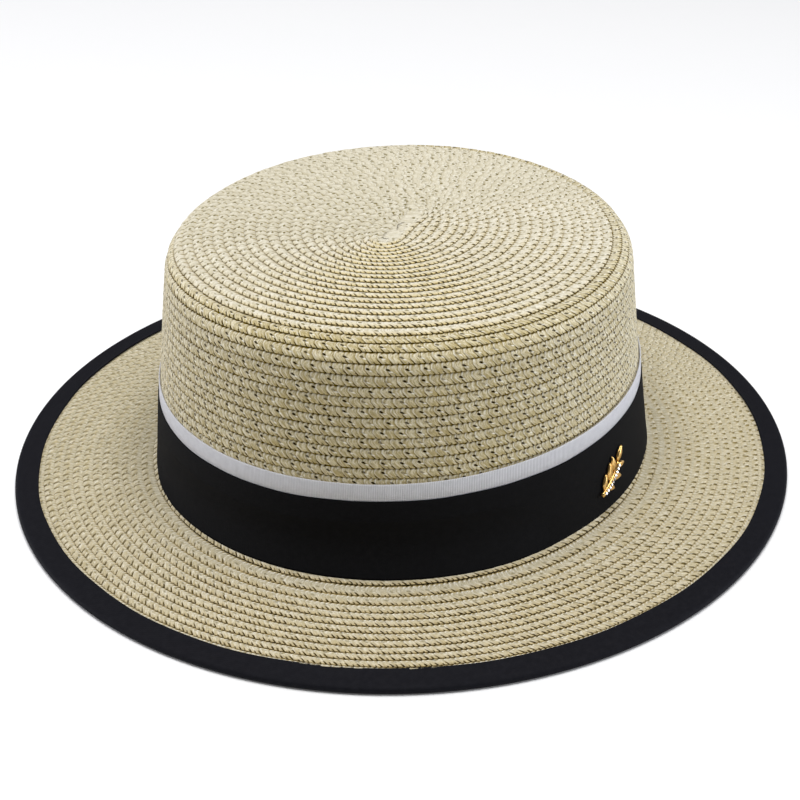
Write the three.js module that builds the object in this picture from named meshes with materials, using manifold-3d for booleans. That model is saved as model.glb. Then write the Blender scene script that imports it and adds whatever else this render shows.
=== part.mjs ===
// Boater hat: a flat-topped straw crown and a straw brim, a fabric band with a narrow ribbon above it,
// a binding folded round the brim's edge, and a small leaf ornament on the band.
// Millimetres, +Z up, the floor at z = 0. The long way of the head lies along Y, the front faces -Y.
import * as THREE from 'three';
import { mergeVertices } from 'three/addons/utils/BufferGeometryUtils.js';
import Module from 'manifold-3d';

const wasm = await Module();
wasm.setup();

// ---- Driving dimensions ----

const SEGMENTS = 72; // flats round the hat, a multiple of four
const GAP = 0.3; // between two pieces that touch

// Every ring of the hat is an oval: its half width along X is its radius, and along Y it is longer.
const oval = {
  lengthen: 7.3, // how much longer, all the way from the crown's top to the brim's edge
  coilStart: 12, // radius within which the top's centre grows from a point into the full oval
};

const crown = {
  radius: 88.8, // outside, at its foot
  taper: 0.104, // how much the radius shrinks for each millimetre of height
  height: 81.1, // from its foot to the level of the flat top's edge
  edgeRound: 7.8,
  dome: 3.8, // rise of the flat top from its edge to its middle
  wall: 2,
  shift: { x: -1.4, y: -0.6 }, // its centre, off the brim's
  topFall: -0.01, // the top's slope along X
};

const brim = {
  radius: 143.1, // outside, with the binding
  wall: 2,
  edgeWall: 1, // inside the binding
  seat: 2.2, // width of the level ring outside the crown's foot
};

const binding = {
  width: 10, // of its upper face
  wall: 1,
  footCut: 0.15, // worn flat where it stands on the floor
};

const band = {
  radius: 90.4, // outside, at the crown's foot
  height: 27.7,
  rise: 0.023, // its upper edge's slope along X
  flare: 1, // of its lower edge, out over the brim
  flareHeight: 3,
};

const ribbon = { height: 6.4, wall: 1 };

const ornament = {
  level: 14, // of its middle above the crown's foot
  angle: THREE.MathUtils.degToRad(-3.4), // round the hat from +X
  thickness: 1.1,
  bevel: 0.35,
  stemRadius: 0.85,
  stem: [[-7.4, -5.4], [0.6, -3.6], [4.2, 2.6]], // a quadratic curve's three points
  leafTurn: THREE.MathUtils.degToRad(46), // between a side leaf and the stem
  leafWidth: 0.3, // half width, as a share of the length
};

const LEAVES = [
  // at: place along the stem; side: 1 left, -1 right, 0 straight on
  { at: 0.16, side: 1, length: 4.6 },
  { at: 0.3, side: -1, length: 4.8 },
  { at: 0.44, side: 1, length: 5.2 },
  { at: 0.6, side: -1, length: 5.2 },
  { at: 0.74, side: 1, length: 5 },
  { at: 0.88, side: -1, length: 4.6 },
  { at: 1, side: 0, length: 5.4 },
];

// ---- Derived sizes ----

const edgeThickness = brim.edgeWall + 2 * GAP + 2 * binding.wall; // brim and binding together
const edgeCentre = {
  radius: brim.radius - edgeThickness / 2,
  level: edgeThickness / 2 - binding.footCut,
};
const FOOT = 8.5; // level of the brim's upper face where the crown stands on it
const slopeStart = { radius: crown.radius + brim.seat, level: FOOT - brim.wall / 2 };
const slope = Math.atan2(slopeStart.level - edgeCentre.level, edgeCentre.radius - slopeStart.radius);
const bindingReach = binding.width - edgeThickness / 2; // its flat part, inwards from the edge's centre

// ---- Where things lie on the hat ----

/** How much longer an oval of this radius is along Y: nothing at the pole. */
function lengthenAt(radius) {
  return oval.lengthen * (1 - Math.exp(-radius / oval.coilStart));
}

/** A point of the hat; the crown's shift fades out over the brim. */
function onHat(radius, angle, level) {
  const fade = THREE.MathUtils.clamp(
    (edgeCentre.radius - bindingReach - radius) / (edgeCentre.radius - bindingReach - slopeStart.radius), 0, 1);
  return new THREE.Vector3(
    radius * Math.cos(angle) + fade * crown.shift.x,
    (radius + lengthenAt(radius)) * Math.sin(angle) + fade * crown.shift.y,
    level);
}

/** A point of the crown, whose top slopes a little along X. */
function onCrown(radius, angle, level) {
  const point = onHat(radius, angle, level);
  point.z += crown.topFall * point.x * (level - FOOT) / crown.height;
  return point;
}

/** The crown's outer radius at a level. */
function crownRadiusAt(level) {
  return crown.radius - crown.taper * (level - FOOT);
}

/** A point of what is wound round the crown: it follows the taper, and its upper part slopes along X. */
function roundCrown(radius, angle, level) {
  const rise = band.rise * radius * Math.cos(angle) * Math.min((level - FOOT) / band.height, 1);
  return onHat(radius - crown.taper * (level + rise - FOOT), angle, level + rise);
}

/** A point of the brim's section: inwards along its slope from the edge's centre, and up from its middle. */
function inBrim(inwards, up) {
  return [
    edgeCentre.radius - inwards * Math.cos(slope) + up * Math.sin(slope),
    edgeCentre.level + inwards * Math.sin(slope) + up * Math.cos(slope),
  ];
}

// ---- Shapes ----

/** Turns an outline of [radius, level] points round the hat into a solid. */
function wound(outline, place) {
  const points = outline.map(([radius, level]) => new THREE.Vector2(radius, level));
  const geometry = new THREE.LatheGeometry(points, SEGMENTS);
  const position = geometry.getAttribute('position');
  for (let i = 0; i < position.count; i += 1) {
    const radius = Math.hypot(position.getX(i), position.getZ(i));
    const angle = Math.atan2(position.getX(i), position.getZ(i));
    const point = place(radius, angle, position.getY(i));
    position.setXYZ(i, point.x, point.y, point.z);
  }
  geometry.computeVertexNormals();
  return geometry;
}

/** Points of an arc round a centre, from one angle to another, both ends included. */
function arc([centreX, centreY], radius, from, to, steps) {
  return Array.from({ length: steps + 1 }, (_, step) => {
    const angle = from + (to - from) * step / steps;
    return [centreX + radius * Math.cos(angle), centreY + radius * Math.sin(angle)];
  });
}

/** The crown's side, rounded edge and domed top, from its foot to the pole, a distance inside its outside. */
function crownSkin(inside) {
  const arcLevel = FOOT + crown.height - crown.edgeRound;
  const arcRadius = crownRadiusAt(arcLevel) - crown.edgeRound;
  const topRadius = arcRadius;
  const dome = [0.8, 0.6, 0.4, 0.2, 0].map((share) => [
    topRadius * share,
    FOOT + crown.height - inside + crown.dome * (1 - share ** 2),
  ]);
  return [
    [crownRadiusAt(FOOT + GAP) - inside, FOOT + GAP],
    ...arc([arcRadius, arcLevel], crown.edgeRound - inside, 0, Math.PI / 2, 5),
    ...dome,
  ];
}

function crownGeometry() {
  return wound([...crownSkin(crown.wall).reverse(), ...crownSkin(0)], onCrown);
}

function brimGeometry() {
  const inner = crown.radius - crown.wall;
  const half = brim.wall / 2;
  const edgeHalf = brim.edgeWall / 2;
  const step = bindingReach + GAP;
  const outline = [
    [inner, FOOT - brim.wall],
    [slopeStart.radius, FOOT - brim.wall],
    inBrim(step, -half),
    inBrim(step, -edgeHalf),
    inBrim(0, -edgeHalf),
    inBrim(0, edgeHalf),
    inBrim(step, edgeHalf),
    inBrim(step, half),
    [slopeStart.radius, FOOT],
    [inner, FOOT],
  ];
  return wound([...outline, outline[0]], onHat);
}

function bindingGeometry() {
  const outer = edgeThickness / 2;
  const inner = outer - binding.wall;
  const centre = [edgeCentre.radius, edgeCentre.level];
  const down = -Math.PI / 2 - slope;
  const up = Math.PI / 2 - slope;
  const outline = [
    inBrim(bindingReach, -outer),
    ...arc(centre, outer, down, up, 8),
    inBrim(bindingReach, outer),
    inBrim(bindingReach, inner),
    ...arc(centre, inner, up, down, 5),
    inBrim(bindingReach, -inner),
  ];
  return wound(withFoot([...outline, outline[0]]), onHat);
}

/** Cuts an outline off level at the floor. */
function withFoot(outline) {
  const cut = [];
  outline.forEach((point, i) => {
    const before = outline[Math.max(i - 1, 0)];
    if ((before[1] < 0) !== (point[1] < 0)) {
      const share = before[1] / (before[1] - point[1]);
      cut.push([before[0] + (point[0] - before[0]) * share, 0]);
    }
    if (point[1] >= 0) {
      cut.push(point);
    }
  });
  return cut;
}

function bandGeometry() {
  const inner = crown.radius + GAP;
  const bottom = FOOT + GAP;
  const outline = [
    [inner, bottom],
    [band.radius + band.flare, bottom],
    [band.radius + band.flare / 3, FOOT + band.flareHeight / 2],
    [band.radius, FOOT + band.flareHeight],
    [band.radius, FOOT + band.height],
    [inner, FOOT + band.height],
  ];
  return wound([...outline, outline[0]], roundCrown);
}

function ribbonGeometry() {
  const inner = crown.radius + GAP;
  const bottom = FOOT + band.height + GAP;
  const top = FOOT + band.height + ribbon.height;
  const outline = [
    [inner, bottom],
    [inner + ribbon.wall, bottom],
    [inner + ribbon.wall, top],
    [inner, top],
  ];
  return wound([...outline, outline[0]], roundCrown);
}

// ---- Ornament: leaves along a curved stem, one solid ----

/** A closed geometry as a manifold-3d solid. */
function toSolid(geometry) {
  const bare = geometry.clone();
  bare.deleteAttribute('normal');
  bare.deleteAttribute('uv');
  const merged = mergeVertices(bare, 1e-4);
  return new wasm.Manifold(new wasm.Mesh({
    numProp: 3,
    vertProperties: new Float32Array(merged.getAttribute('position').array),
    triVerts: new Uint32Array(merged.getIndex().array),
  }));
}

/** A manifold-3d solid as a geometry. */
function toGeometry(solid) {
  const { vertProperties, triVerts } = solid.getMesh();
  const geometry = new THREE.BufferGeometry();
  geometry.setAttribute('position', new THREE.BufferAttribute(new Float32Array(vertProperties), 3));
  geometry.setIndex(new THREE.BufferAttribute(new Uint32Array(triVerts), 1));
  geometry.computeVertexNormals();
  return geometry;
}

/** A pointed leaf with a bevelled edge, flat at z = 0, from a point of the stem along an angle. */
function leafGeometry({ start, angle, length }) {
  const { bevel, thickness, leafWidth } = ornament;
  const width = 2 * length * leafWidth;
  const shape = new THREE.Shape();
  shape.moveTo(0, 0);
  shape.quadraticCurveTo(length * 0.4, width, length - bevel, 0);
  shape.quadraticCurveTo(length * 0.4, -width, 0, 0);
  const geometry = new THREE.ExtrudeGeometry(shape, {
    depth: thickness - bevel,
    curveSegments: 5,
    bevelSize: bevel,
    bevelThickness: bevel,
    bevelSegments: 1,
  });
  return geometry.rotateZ(angle).translate(start.x, start.y, bevel);
}

function stemGeometry(curve) {
  const section = new THREE.Shape();
  section.absarc(0, 0, ornament.stemRadius, 0, 2 * Math.PI);
  const geometry = new THREE.ExtrudeGeometry(section, { extrudePath: curve, steps: 8, curveSegments: 8 });
  return geometry.translate(0, 0, ornament.stemRadius);
}

function ornamentGeometry() {
  const [from, bend, to] = ornament.stem.map(([x, y]) => new THREE.Vector3(x, y, 0));
  const curve = new THREE.QuadraticBezierCurve3(from, bend, to);
  const leaves = LEAVES.map(({ at, side, length }) => {
    const along = curve.getTangent(at);
    const angle = Math.atan2(along.y, along.x) + side * ornament.leafTurn;
    return toSolid(leafGeometry({ start: curve.getPoint(at), angle, length }));
  });
  const solid = leaves.reduce((sum, leaf) => sum.add(leaf), toSolid(stemGeometry(curve)));
  return toGeometry(solid);
}

/** Turns and moves the ornament, made flat and facing +Z, onto the band's outside. */
function fastenOrnament(mesh) {
  const level = FOOT + ornament.level;
  const radius = band.radius - crown.taper * ornament.level + GAP;
  const tangent = onHat(radius, ornament.angle + 0.01, level).sub(onHat(radius, ornament.angle - 0.01, level));
  tangent.normalize();
  const upwards = new THREE.Vector3(-crown.taper * tangent.y, crown.taper * tangent.x, 1).normalize();
  const outwards = new THREE.Vector3().crossVectors(tangent, upwards);
  mesh.setRotationFromMatrix(new THREE.Matrix4().makeBasis(tangent, upwards, outwards));
  mesh.position.copy(onHat(radius, ornament.angle, level));
}

// ---- Materials ----

const straw = new THREE.MeshStandardMaterial({ color: 0xcfc29b, roughness: 0.7, metalness: 0 });
const blackFabric = new THREE.MeshStandardMaterial({ color: 0x141416, roughness: 0.9, metalness: 0 });
const blackTape = new THREE.MeshStandardMaterial({ color: 0x1c1c20, roughness: 0.75, metalness: 0 });
const whiteRibbon = new THREE.MeshStandardMaterial({ color: 0xdcdcdf, roughness: 0.8, metalness: 0 });
const gold = new THREE.MeshStandardMaterial({ color: 0xd9a441, roughness: 0.3, metalness: 1 });

// ---- The hat ----

function piece(name, geometry, material) {
  const mesh = new THREE.Mesh(geometry, material);
  mesh.name = name;
  return mesh;
}

const hat = new THREE.Group();
hat.add(piece('crown', crownGeometry(), straw));
hat.add(piece('brim', brimGeometry(), straw));
hat.add(piece('brim_binding', bindingGeometry(), blackTape));
hat.add(piece('hat_band', bandGeometry(), blackFabric));
hat.add(piece('ribbon', ribbonGeometry(), whiteRibbon));

const leafOrnament = piece('ornament', ornamentGeometry(), gold);
fastenOrnament(leafOrnament);
hat.add(leafOrnament);

export default hat;
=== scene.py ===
"""The looks of a boater hat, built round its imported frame.

The crown and the brim are one long plait of paper straw, sewn in a spiral from the middle of the top out
to the brim's edge. Each turn lies over the next one out, so every turn shows one free edge. A knitted band
and a ribbed ribbon go round the crown, a tape is folded round the brim's edge, and a small leaf sprig sits
on the band.

Lengths are in metres. The floor is at z = 0, the long way of the head lies along Y, the front faces -Y.
"""

from __future__ import annotations

import logging
import math
from dataclasses import astuple, dataclass, field
from enum import Enum
from typing import Callable, ClassVar, Sequence

import bmesh
import bpy
import numpy as np
from mathutils import Matrix, Vector

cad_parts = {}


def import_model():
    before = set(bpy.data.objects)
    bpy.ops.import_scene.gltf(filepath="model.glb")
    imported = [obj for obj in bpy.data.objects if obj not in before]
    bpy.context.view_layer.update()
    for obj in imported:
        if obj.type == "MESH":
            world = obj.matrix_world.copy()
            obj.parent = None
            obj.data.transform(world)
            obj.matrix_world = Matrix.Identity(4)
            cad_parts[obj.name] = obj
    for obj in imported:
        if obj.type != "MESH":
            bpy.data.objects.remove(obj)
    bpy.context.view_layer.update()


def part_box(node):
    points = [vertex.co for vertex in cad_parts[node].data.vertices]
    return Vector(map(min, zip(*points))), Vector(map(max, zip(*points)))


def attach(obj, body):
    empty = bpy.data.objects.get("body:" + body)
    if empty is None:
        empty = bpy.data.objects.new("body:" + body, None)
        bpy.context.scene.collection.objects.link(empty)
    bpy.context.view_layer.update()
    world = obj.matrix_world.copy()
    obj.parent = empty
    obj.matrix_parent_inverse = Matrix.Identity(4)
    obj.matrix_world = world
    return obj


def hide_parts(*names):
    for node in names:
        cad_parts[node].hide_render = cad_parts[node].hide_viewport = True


LOG = logging.getLogger("boater")
MM = 0.001
BODY = "root"


# ------------------------------
# The hat's form
# ------------------------------


@dataclass(frozen=True)
class HatForm:
    """The hat's outer form: ovals whose half width along X is their radius, and which are longer along Y.

    Attributes:
        foot: Level where the crown stands on the brim.
        crown_radius: Radius of the straw's outside at the foot.
        lengthen: How much longer than its radius an oval's half length is.
        shift: Where the crown's middle is.
        brim_radius: Radius of the binding's outside.
        crown_top: Highest level of the crown.
        taper: How much the radius lessens with each length upwards.
        edge_round: Radius of the rounding between side and top.
        dome: How much higher the top's middle is than its edge.
        dome_power: How flat the dome stays before it falls.
        top_fall: How much the hat falls towards +X, more so further up.
        foot_fillet: Radius of the hollow between side and brim.
        brim_edge_level: Level of the brim's edge.
        straw_proud: How far the straw stands off the solid crown.
        belly: How much fuller the side is half way up.
        belly_levels: Where that fullness begins and ends.
        lean_power: How soon above the foot the crown has its full shift.
        band_rise: How much what is wound round the crown rises towards +X.
        band_height: Height above the foot that takes part in full.
    """

    foot: float
    crown_radius: float
    lengthen: float
    shift: tuple[float, float]
    brim_radius: float
    crown_top: float
    taper: float = 0.104
    edge_round: float = 8.3 * MM
    dome: float = 3.6 * MM
    dome_power: float = 5.0
    top_fall: float = -0.010
    foot_fillet: float = 2.5 * MM
    brim_edge_level: float = 2.3 * MM
    straw_proud: float = 0.6 * MM
    belly: float = 0.82 * MM
    belly_levels: tuple[float, float] = (36 * MM, 76 * MM)
    lean_power: float = 2.2
    band_rise: float = 0.023
    band_height: float = 27.7 * MM

    @classmethod
    def from_frame(cls) -> "HatForm":
        """Works the form out from the boxes of the frame's nodes.

        Returns:
            The form, with the crown's straw standing a little proud of its solid.
        """
        crown_low, crown_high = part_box("crown")
        rim_low, rim_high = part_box("brim_binding")
        _, brim_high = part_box("brim")
        half_x = (crown_high.x - crown_low.x) / 2
        half_y = (crown_high.y - crown_low.y) / 2
        centre = (crown_low + crown_high) / 2
        return cls(
            foot=brim_high.z,
            crown_radius=half_x + cls.straw_proud,
            lengthen=half_y - half_x,
            shift=(centre.x, centre.y),
            brim_radius=(rim_high.x - rim_low.x) / 2,
            crown_top=crown_high.z,
        )

    @property
    def crown_height(self) -> float:
        """Height from the foot to the flat top's edge."""
        return self.crown_top - self.foot - self.dome + 0.4 * MM

    def side_radius(self, level: np.ndarray | float) -> np.ndarray | float:
        """Radius of the straw's outside on the crown's side at a level, a little fuller half way up."""
        low, high = self.belly_levels
        belly = self.belly * np.sin(math.pi * np.clip((level - low) / (high - low), 0, 1))
        return self.crown_radius - self.taper * (level - self.foot) + belly

    def place(self, radius: np.ndarray, angle: np.ndarray, level: np.ndarray) -> np.ndarray:
        """Puts points given on the ideal oval where they lie on the hat.

        Args:
            radius: Half width along X of each point's oval.
            angle: Angle round the hat from +X.
            level: Height above the floor.

        Returns:
            The points, one row each.
        """
        height = np.clip((level - self.foot) / self.crown_height, 0, None)
        lean = 1 - np.clip(1 - height, 0, 1) ** self.lean_power
        x = radius * np.cos(angle) + lean * self.shift[0]
        y = (radius + self.lengthen) * np.sin(angle) + lean * self.shift[1]
        return np.stack([x, y, level + self.top_fall * x * height], axis=-1)

    def place_on_side(self, proud: np.ndarray, angle: np.ndarray, level: np.ndarray) -> np.ndarray:
        """Puts points of what is wound round the crown, whose upper part rises towards +X.

        Args:
            proud: How far each point stands off the straw's outside.
            angle: Angle round the hat from +X.
            level: Height above the floor before the rise.

        Returns:
            The points, one row each.
        """
        share = np.clip((level - self.foot) / self.band_height, 0, 1)
        risen = level + self.band_rise * self.crown_radius * np.cos(angle) * share
        return self.place(self.side_radius(risen) + proud, angle, risen)


class Meridian:
    """The hat's section on one side: radius and level against the distance from the middle of the top."""

    STEP = 0.25 * MM
    SOFTEN = 2.5 * MM

    def __init__(self, form: HatForm) -> None:
        """Lines up the dome, the rounded edge, the side, the fillet at the foot and the brim.

        Args:
            form: The hat's form.
        """
        edge_level = form.foot + form.crown_height
        arc_level = edge_level - form.edge_round
        arc_radius = form.side_radius(arc_level) - form.edge_round
        dome = [(arc_radius * share, edge_level + form.dome * (1 - share**form.dome_power))
                for share in np.linspace(0, 1, 24)]
        edge = self._arc(arc_radius, arc_level, form.edge_round, np.linspace(math.pi / 2, 0, 12)[1:])
        fillet_level = form.foot + form.foot_fillet
        fillet_radius = form.side_radius(fillet_level) + form.foot_fillet
        angles = np.linspace(math.pi, 1.5 * math.pi, 8)
        foot = self._arc(fillet_radius, fillet_level, form.foot_fillet, angles)
        rim = [(form.brim_radius, form.brim_edge_level)]
        rough = np.array(dome + edge + foot + rim)
        run = np.concatenate([[0], np.cumsum(np.hypot(*np.diff(rough, axis=0).T))])
        self.length = float(run[-1])
        even = np.arange(0, self.length, self.STEP)
        points = np.stack([np.interp(even, run, rough[:, 0]), np.interp(even, run, rough[:, 1])], axis=1)
        window = int(self.SOFTEN / self.STEP) | 1
        padded = np.concatenate([[points[0]] * (window // 2), points, [points[-1]] * (window // 2)])
        kernel = np.ones(window) / window
        soft = np.stack([np.convolve(padded[:, i], kernel, mode="valid") for i in range(2)], axis=1)
        soft[0, 0] = 0
        tangent = np.gradient(soft, axis=0)
        tangent /= np.linalg.norm(tangent, axis=1, keepdims=True)
        self._distance = even
        self._points = soft
        self._normals = np.stack([-tangent[:, 1], tangent[:, 0]], axis=1)

    @staticmethod
    def _arc(radius: float, level: float, size: float, angles: np.ndarray) -> list[tuple[float, float]]:
        """Points of an arc round a centre of this radius and level."""
        return [(radius + size * math.cos(angle), level + size * math.sin(angle)) for angle in angles]

    def at(self, distance: np.ndarray, lift: np.ndarray | float) -> tuple[np.ndarray, np.ndarray]:
        """Finds points a distance along the section and a lift off it.

        Args:
            distance: Distance from the middle of the top.
            lift: Distance outwards from the section.

        Returns:
            The points' radii and levels.
        """
        columns = [np.interp(distance, self._distance, a) for a in (*self._points.T, *self._normals.T)]
        radius, level, out_radius, out_level = columns
        return radius + lift * out_radius, level + lift * out_level


# ------------------------------
# Helpers for meshes
# ------------------------------


def finish_piece(name: str, mesh: bpy.types.Mesh, material: bpy.types.Material,
                 nodes: Sequence[str] = ()) -> bpy.types.Object:
    """Makes a mesh a piece of the hat.

    Args:
        name: The piece's name.
        mesh: Its mesh, in place.
        material: Its material.
        nodes: The frame's nodes that it stands for.

    Returns:
        The piece.
    """
    mesh.name = name
    mesh.materials.clear()
    mesh.materials.append(material)
    mesh.polygons.foreach_set("use_smooth", [True] * len(mesh.polygons))
    piece = bpy.data.objects.new(name, mesh)
    bpy.context.scene.collection.objects.link(piece)
    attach(piece, BODY)
    if nodes:
        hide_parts(*nodes)
    triangles = sum(len(polygon.vertices) - 2 for polygon in mesh.polygons)
    LOG.info("%s: %d triangles", name, triangles)
    return piece


def into_mesh(name: str, shape: bmesh.types.BMesh) -> bpy.types.Mesh:
    """Turns a worked-out shape into a mesh, and frees the shape."""
    mesh = bpy.data.meshes.new(name)
    shape.to_mesh(mesh)
    shape.free()
    return mesh


def coordinates(mesh: bpy.types.Mesh) -> np.ndarray:
    """The coordinates of a mesh's vertices, one row each."""
    flat = np.empty(len(mesh.vertices) * 3)
    mesh.vertices.foreach_get("co", flat)
    return flat.reshape(-1, 3)


def corner_vertices(mesh: bpy.types.Mesh) -> np.ndarray:
    """The number of the vertex at each corner of a mesh's faces."""
    corner = np.empty(len(mesh.loops), dtype=np.int32)
    mesh.loops.foreach_get("vertex_index", corner)
    return corner


Waves = tuple[tuple[int, float, float], ...]
# Added to how far the points of a wall piece stand off the wall while its ring is spun.
SPIN_RADIUS = 0.05
MERGE_DISTANCE = 0.001 * MM
STRIP_MERGE_DISTANCE = 0.0005 * MM


def spun_wall(outline: Sequence[tuple[float, float]], steps: int) -> bmesh.types.BMesh:
    """Spins a ring from an outline that says how far its points stand off the wall, and their levels."""
    return spun_ring([(SPIN_RADIUS + proud, level) for proud, level in outline], steps)


def spun_ring(outline: Sequence[tuple[float, float]], steps: int) -> bmesh.types.BMesh:
    """Spins a closed outline round Z into a ring whose vertices still hold the outline's radius and level.

    Args:
        outline: Points of radius and level, not closed on themselves.
        steps: Steps round the ring.

    Returns:
        The ring, which its caller frees.
    """
    ring = bmesh.new()
    corners = [ring.verts.new((radius, 0, level)) for radius, level in outline]
    edges = [ring.edges.new((a, b)) for a, b in zip(corners, corners[1:] + corners[:1])]
    bmesh.ops.spin(ring, geom=corners + edges, cent=(0, 0, 0), axis=(0, 0, 1), angle=2 * math.pi,
                   steps=steps, use_merge=True)
    bmesh.ops.remove_doubles(ring, verts=ring.verts, dist=MERGE_DISTANCE)
    bmesh.ops.recalc_face_normals(ring, faces=ring.faces)
    return ring


def wound_mesh(ring: bmesh.types.BMesh, place: Callable[..., np.ndarray], girth: float) -> bpy.types.Mesh:
    """Moves a spun ring's vertices onto the hat, and lays a UV map in metres along and across it.

    Args:
        ring: The spun ring, which is freed.
        place: Takes radius, angle and level, and gives points.
        girth: Length round the ring, in metres, for its UV map.

    Returns:
        The mesh.
    """
    mesh = into_mesh("ring", ring)
    x, y, level = coordinates(mesh).T
    radius, angle = np.hypot(x, y), np.arctan2(y, x)
    across = profile_run(radius, level)
    mesh.vertices.foreach_set("co", place(radius, angle, level).ravel())
    layer = mesh.uv_layers.new(name="cloth")
    corner = corner_vertices(mesh)
    share = (angle[corner] / (2 * math.pi)) % 1.0
    starts = np.array([polygon.loop_start for polygon in mesh.polygons])
    totals = np.array([polygon.loop_total for polygon in mesh.polygons])
    owner = np.repeat(np.arange(len(starts)), totals)
    widest = np.zeros(len(starts))
    np.maximum.at(widest, owner, share)
    share = np.where(widest[owner] - share > 0.5, share + 1, share)
    layer.data.foreach_set("uv", np.stack([share * girth, across[corner]], axis=1).ravel())
    mesh.update()
    return mesh


def stray_at(angle: np.ndarray, waves: Waves) -> np.ndarray:
    """Unevenness round the hat: a sum of waves, each given by its number, its phase and its strength."""
    return sum(strength * np.sin(number * angle + phase) for number, phase, strength in waves)


def profile_run(radius: np.ndarray, level: np.ndarray) -> np.ndarray:
    """A coordinate across a band, tape or ribbon: its level where it stands, its radius where it lies."""
    stands = np.ptp(level) > np.ptp(radius)
    return level if stands else radius


def oval_girth(radius: float, lengthen: float) -> float:
    """Length round an oval of this half width and this much greater half length."""
    a, b = radius, radius + lengthen
    return math.pi * (3 * (a + b) - math.sqrt((3 * a + b) * (a + 3 * b)))


# ------------------------------
# Materials
# ------------------------------

Colour = tuple[float, float, float]


class Wire:
    """A shader node's output. Arithmetic on it, with numbers or other wires, adds Math nodes."""

    def __init__(self, build: Shading, socket: bpy.types.NodeSocket) -> None:
        """Wraps a socket of the tree that a builder makes."""
        self.build = build
        self.socket = socket

    def __add__(self, other: Amount) -> Wire:
        return self.build.math("ADD", self, other)

    def __sub__(self, other: Amount) -> Wire:
        return self.build.math("SUBTRACT", self, other)

    def __rsub__(self, other: float) -> Wire:
        return self.build.math("SUBTRACT", other, self)

    def __mul__(self, other: Amount) -> Wire:
        return self.build.math("MULTIPLY", self, other)

    def __truediv__(self, other: Amount) -> Wire:
        return self.build.math("DIVIDE", self, other)

    def __pow__(self, other: float) -> Wire:
        return self.build.math("POWER", self, other)

    def __abs__(self) -> Wire:
        return self.build.math("ABSOLUTE", self)


Amount = Wire | float
Tint = Wire | Colour


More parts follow.
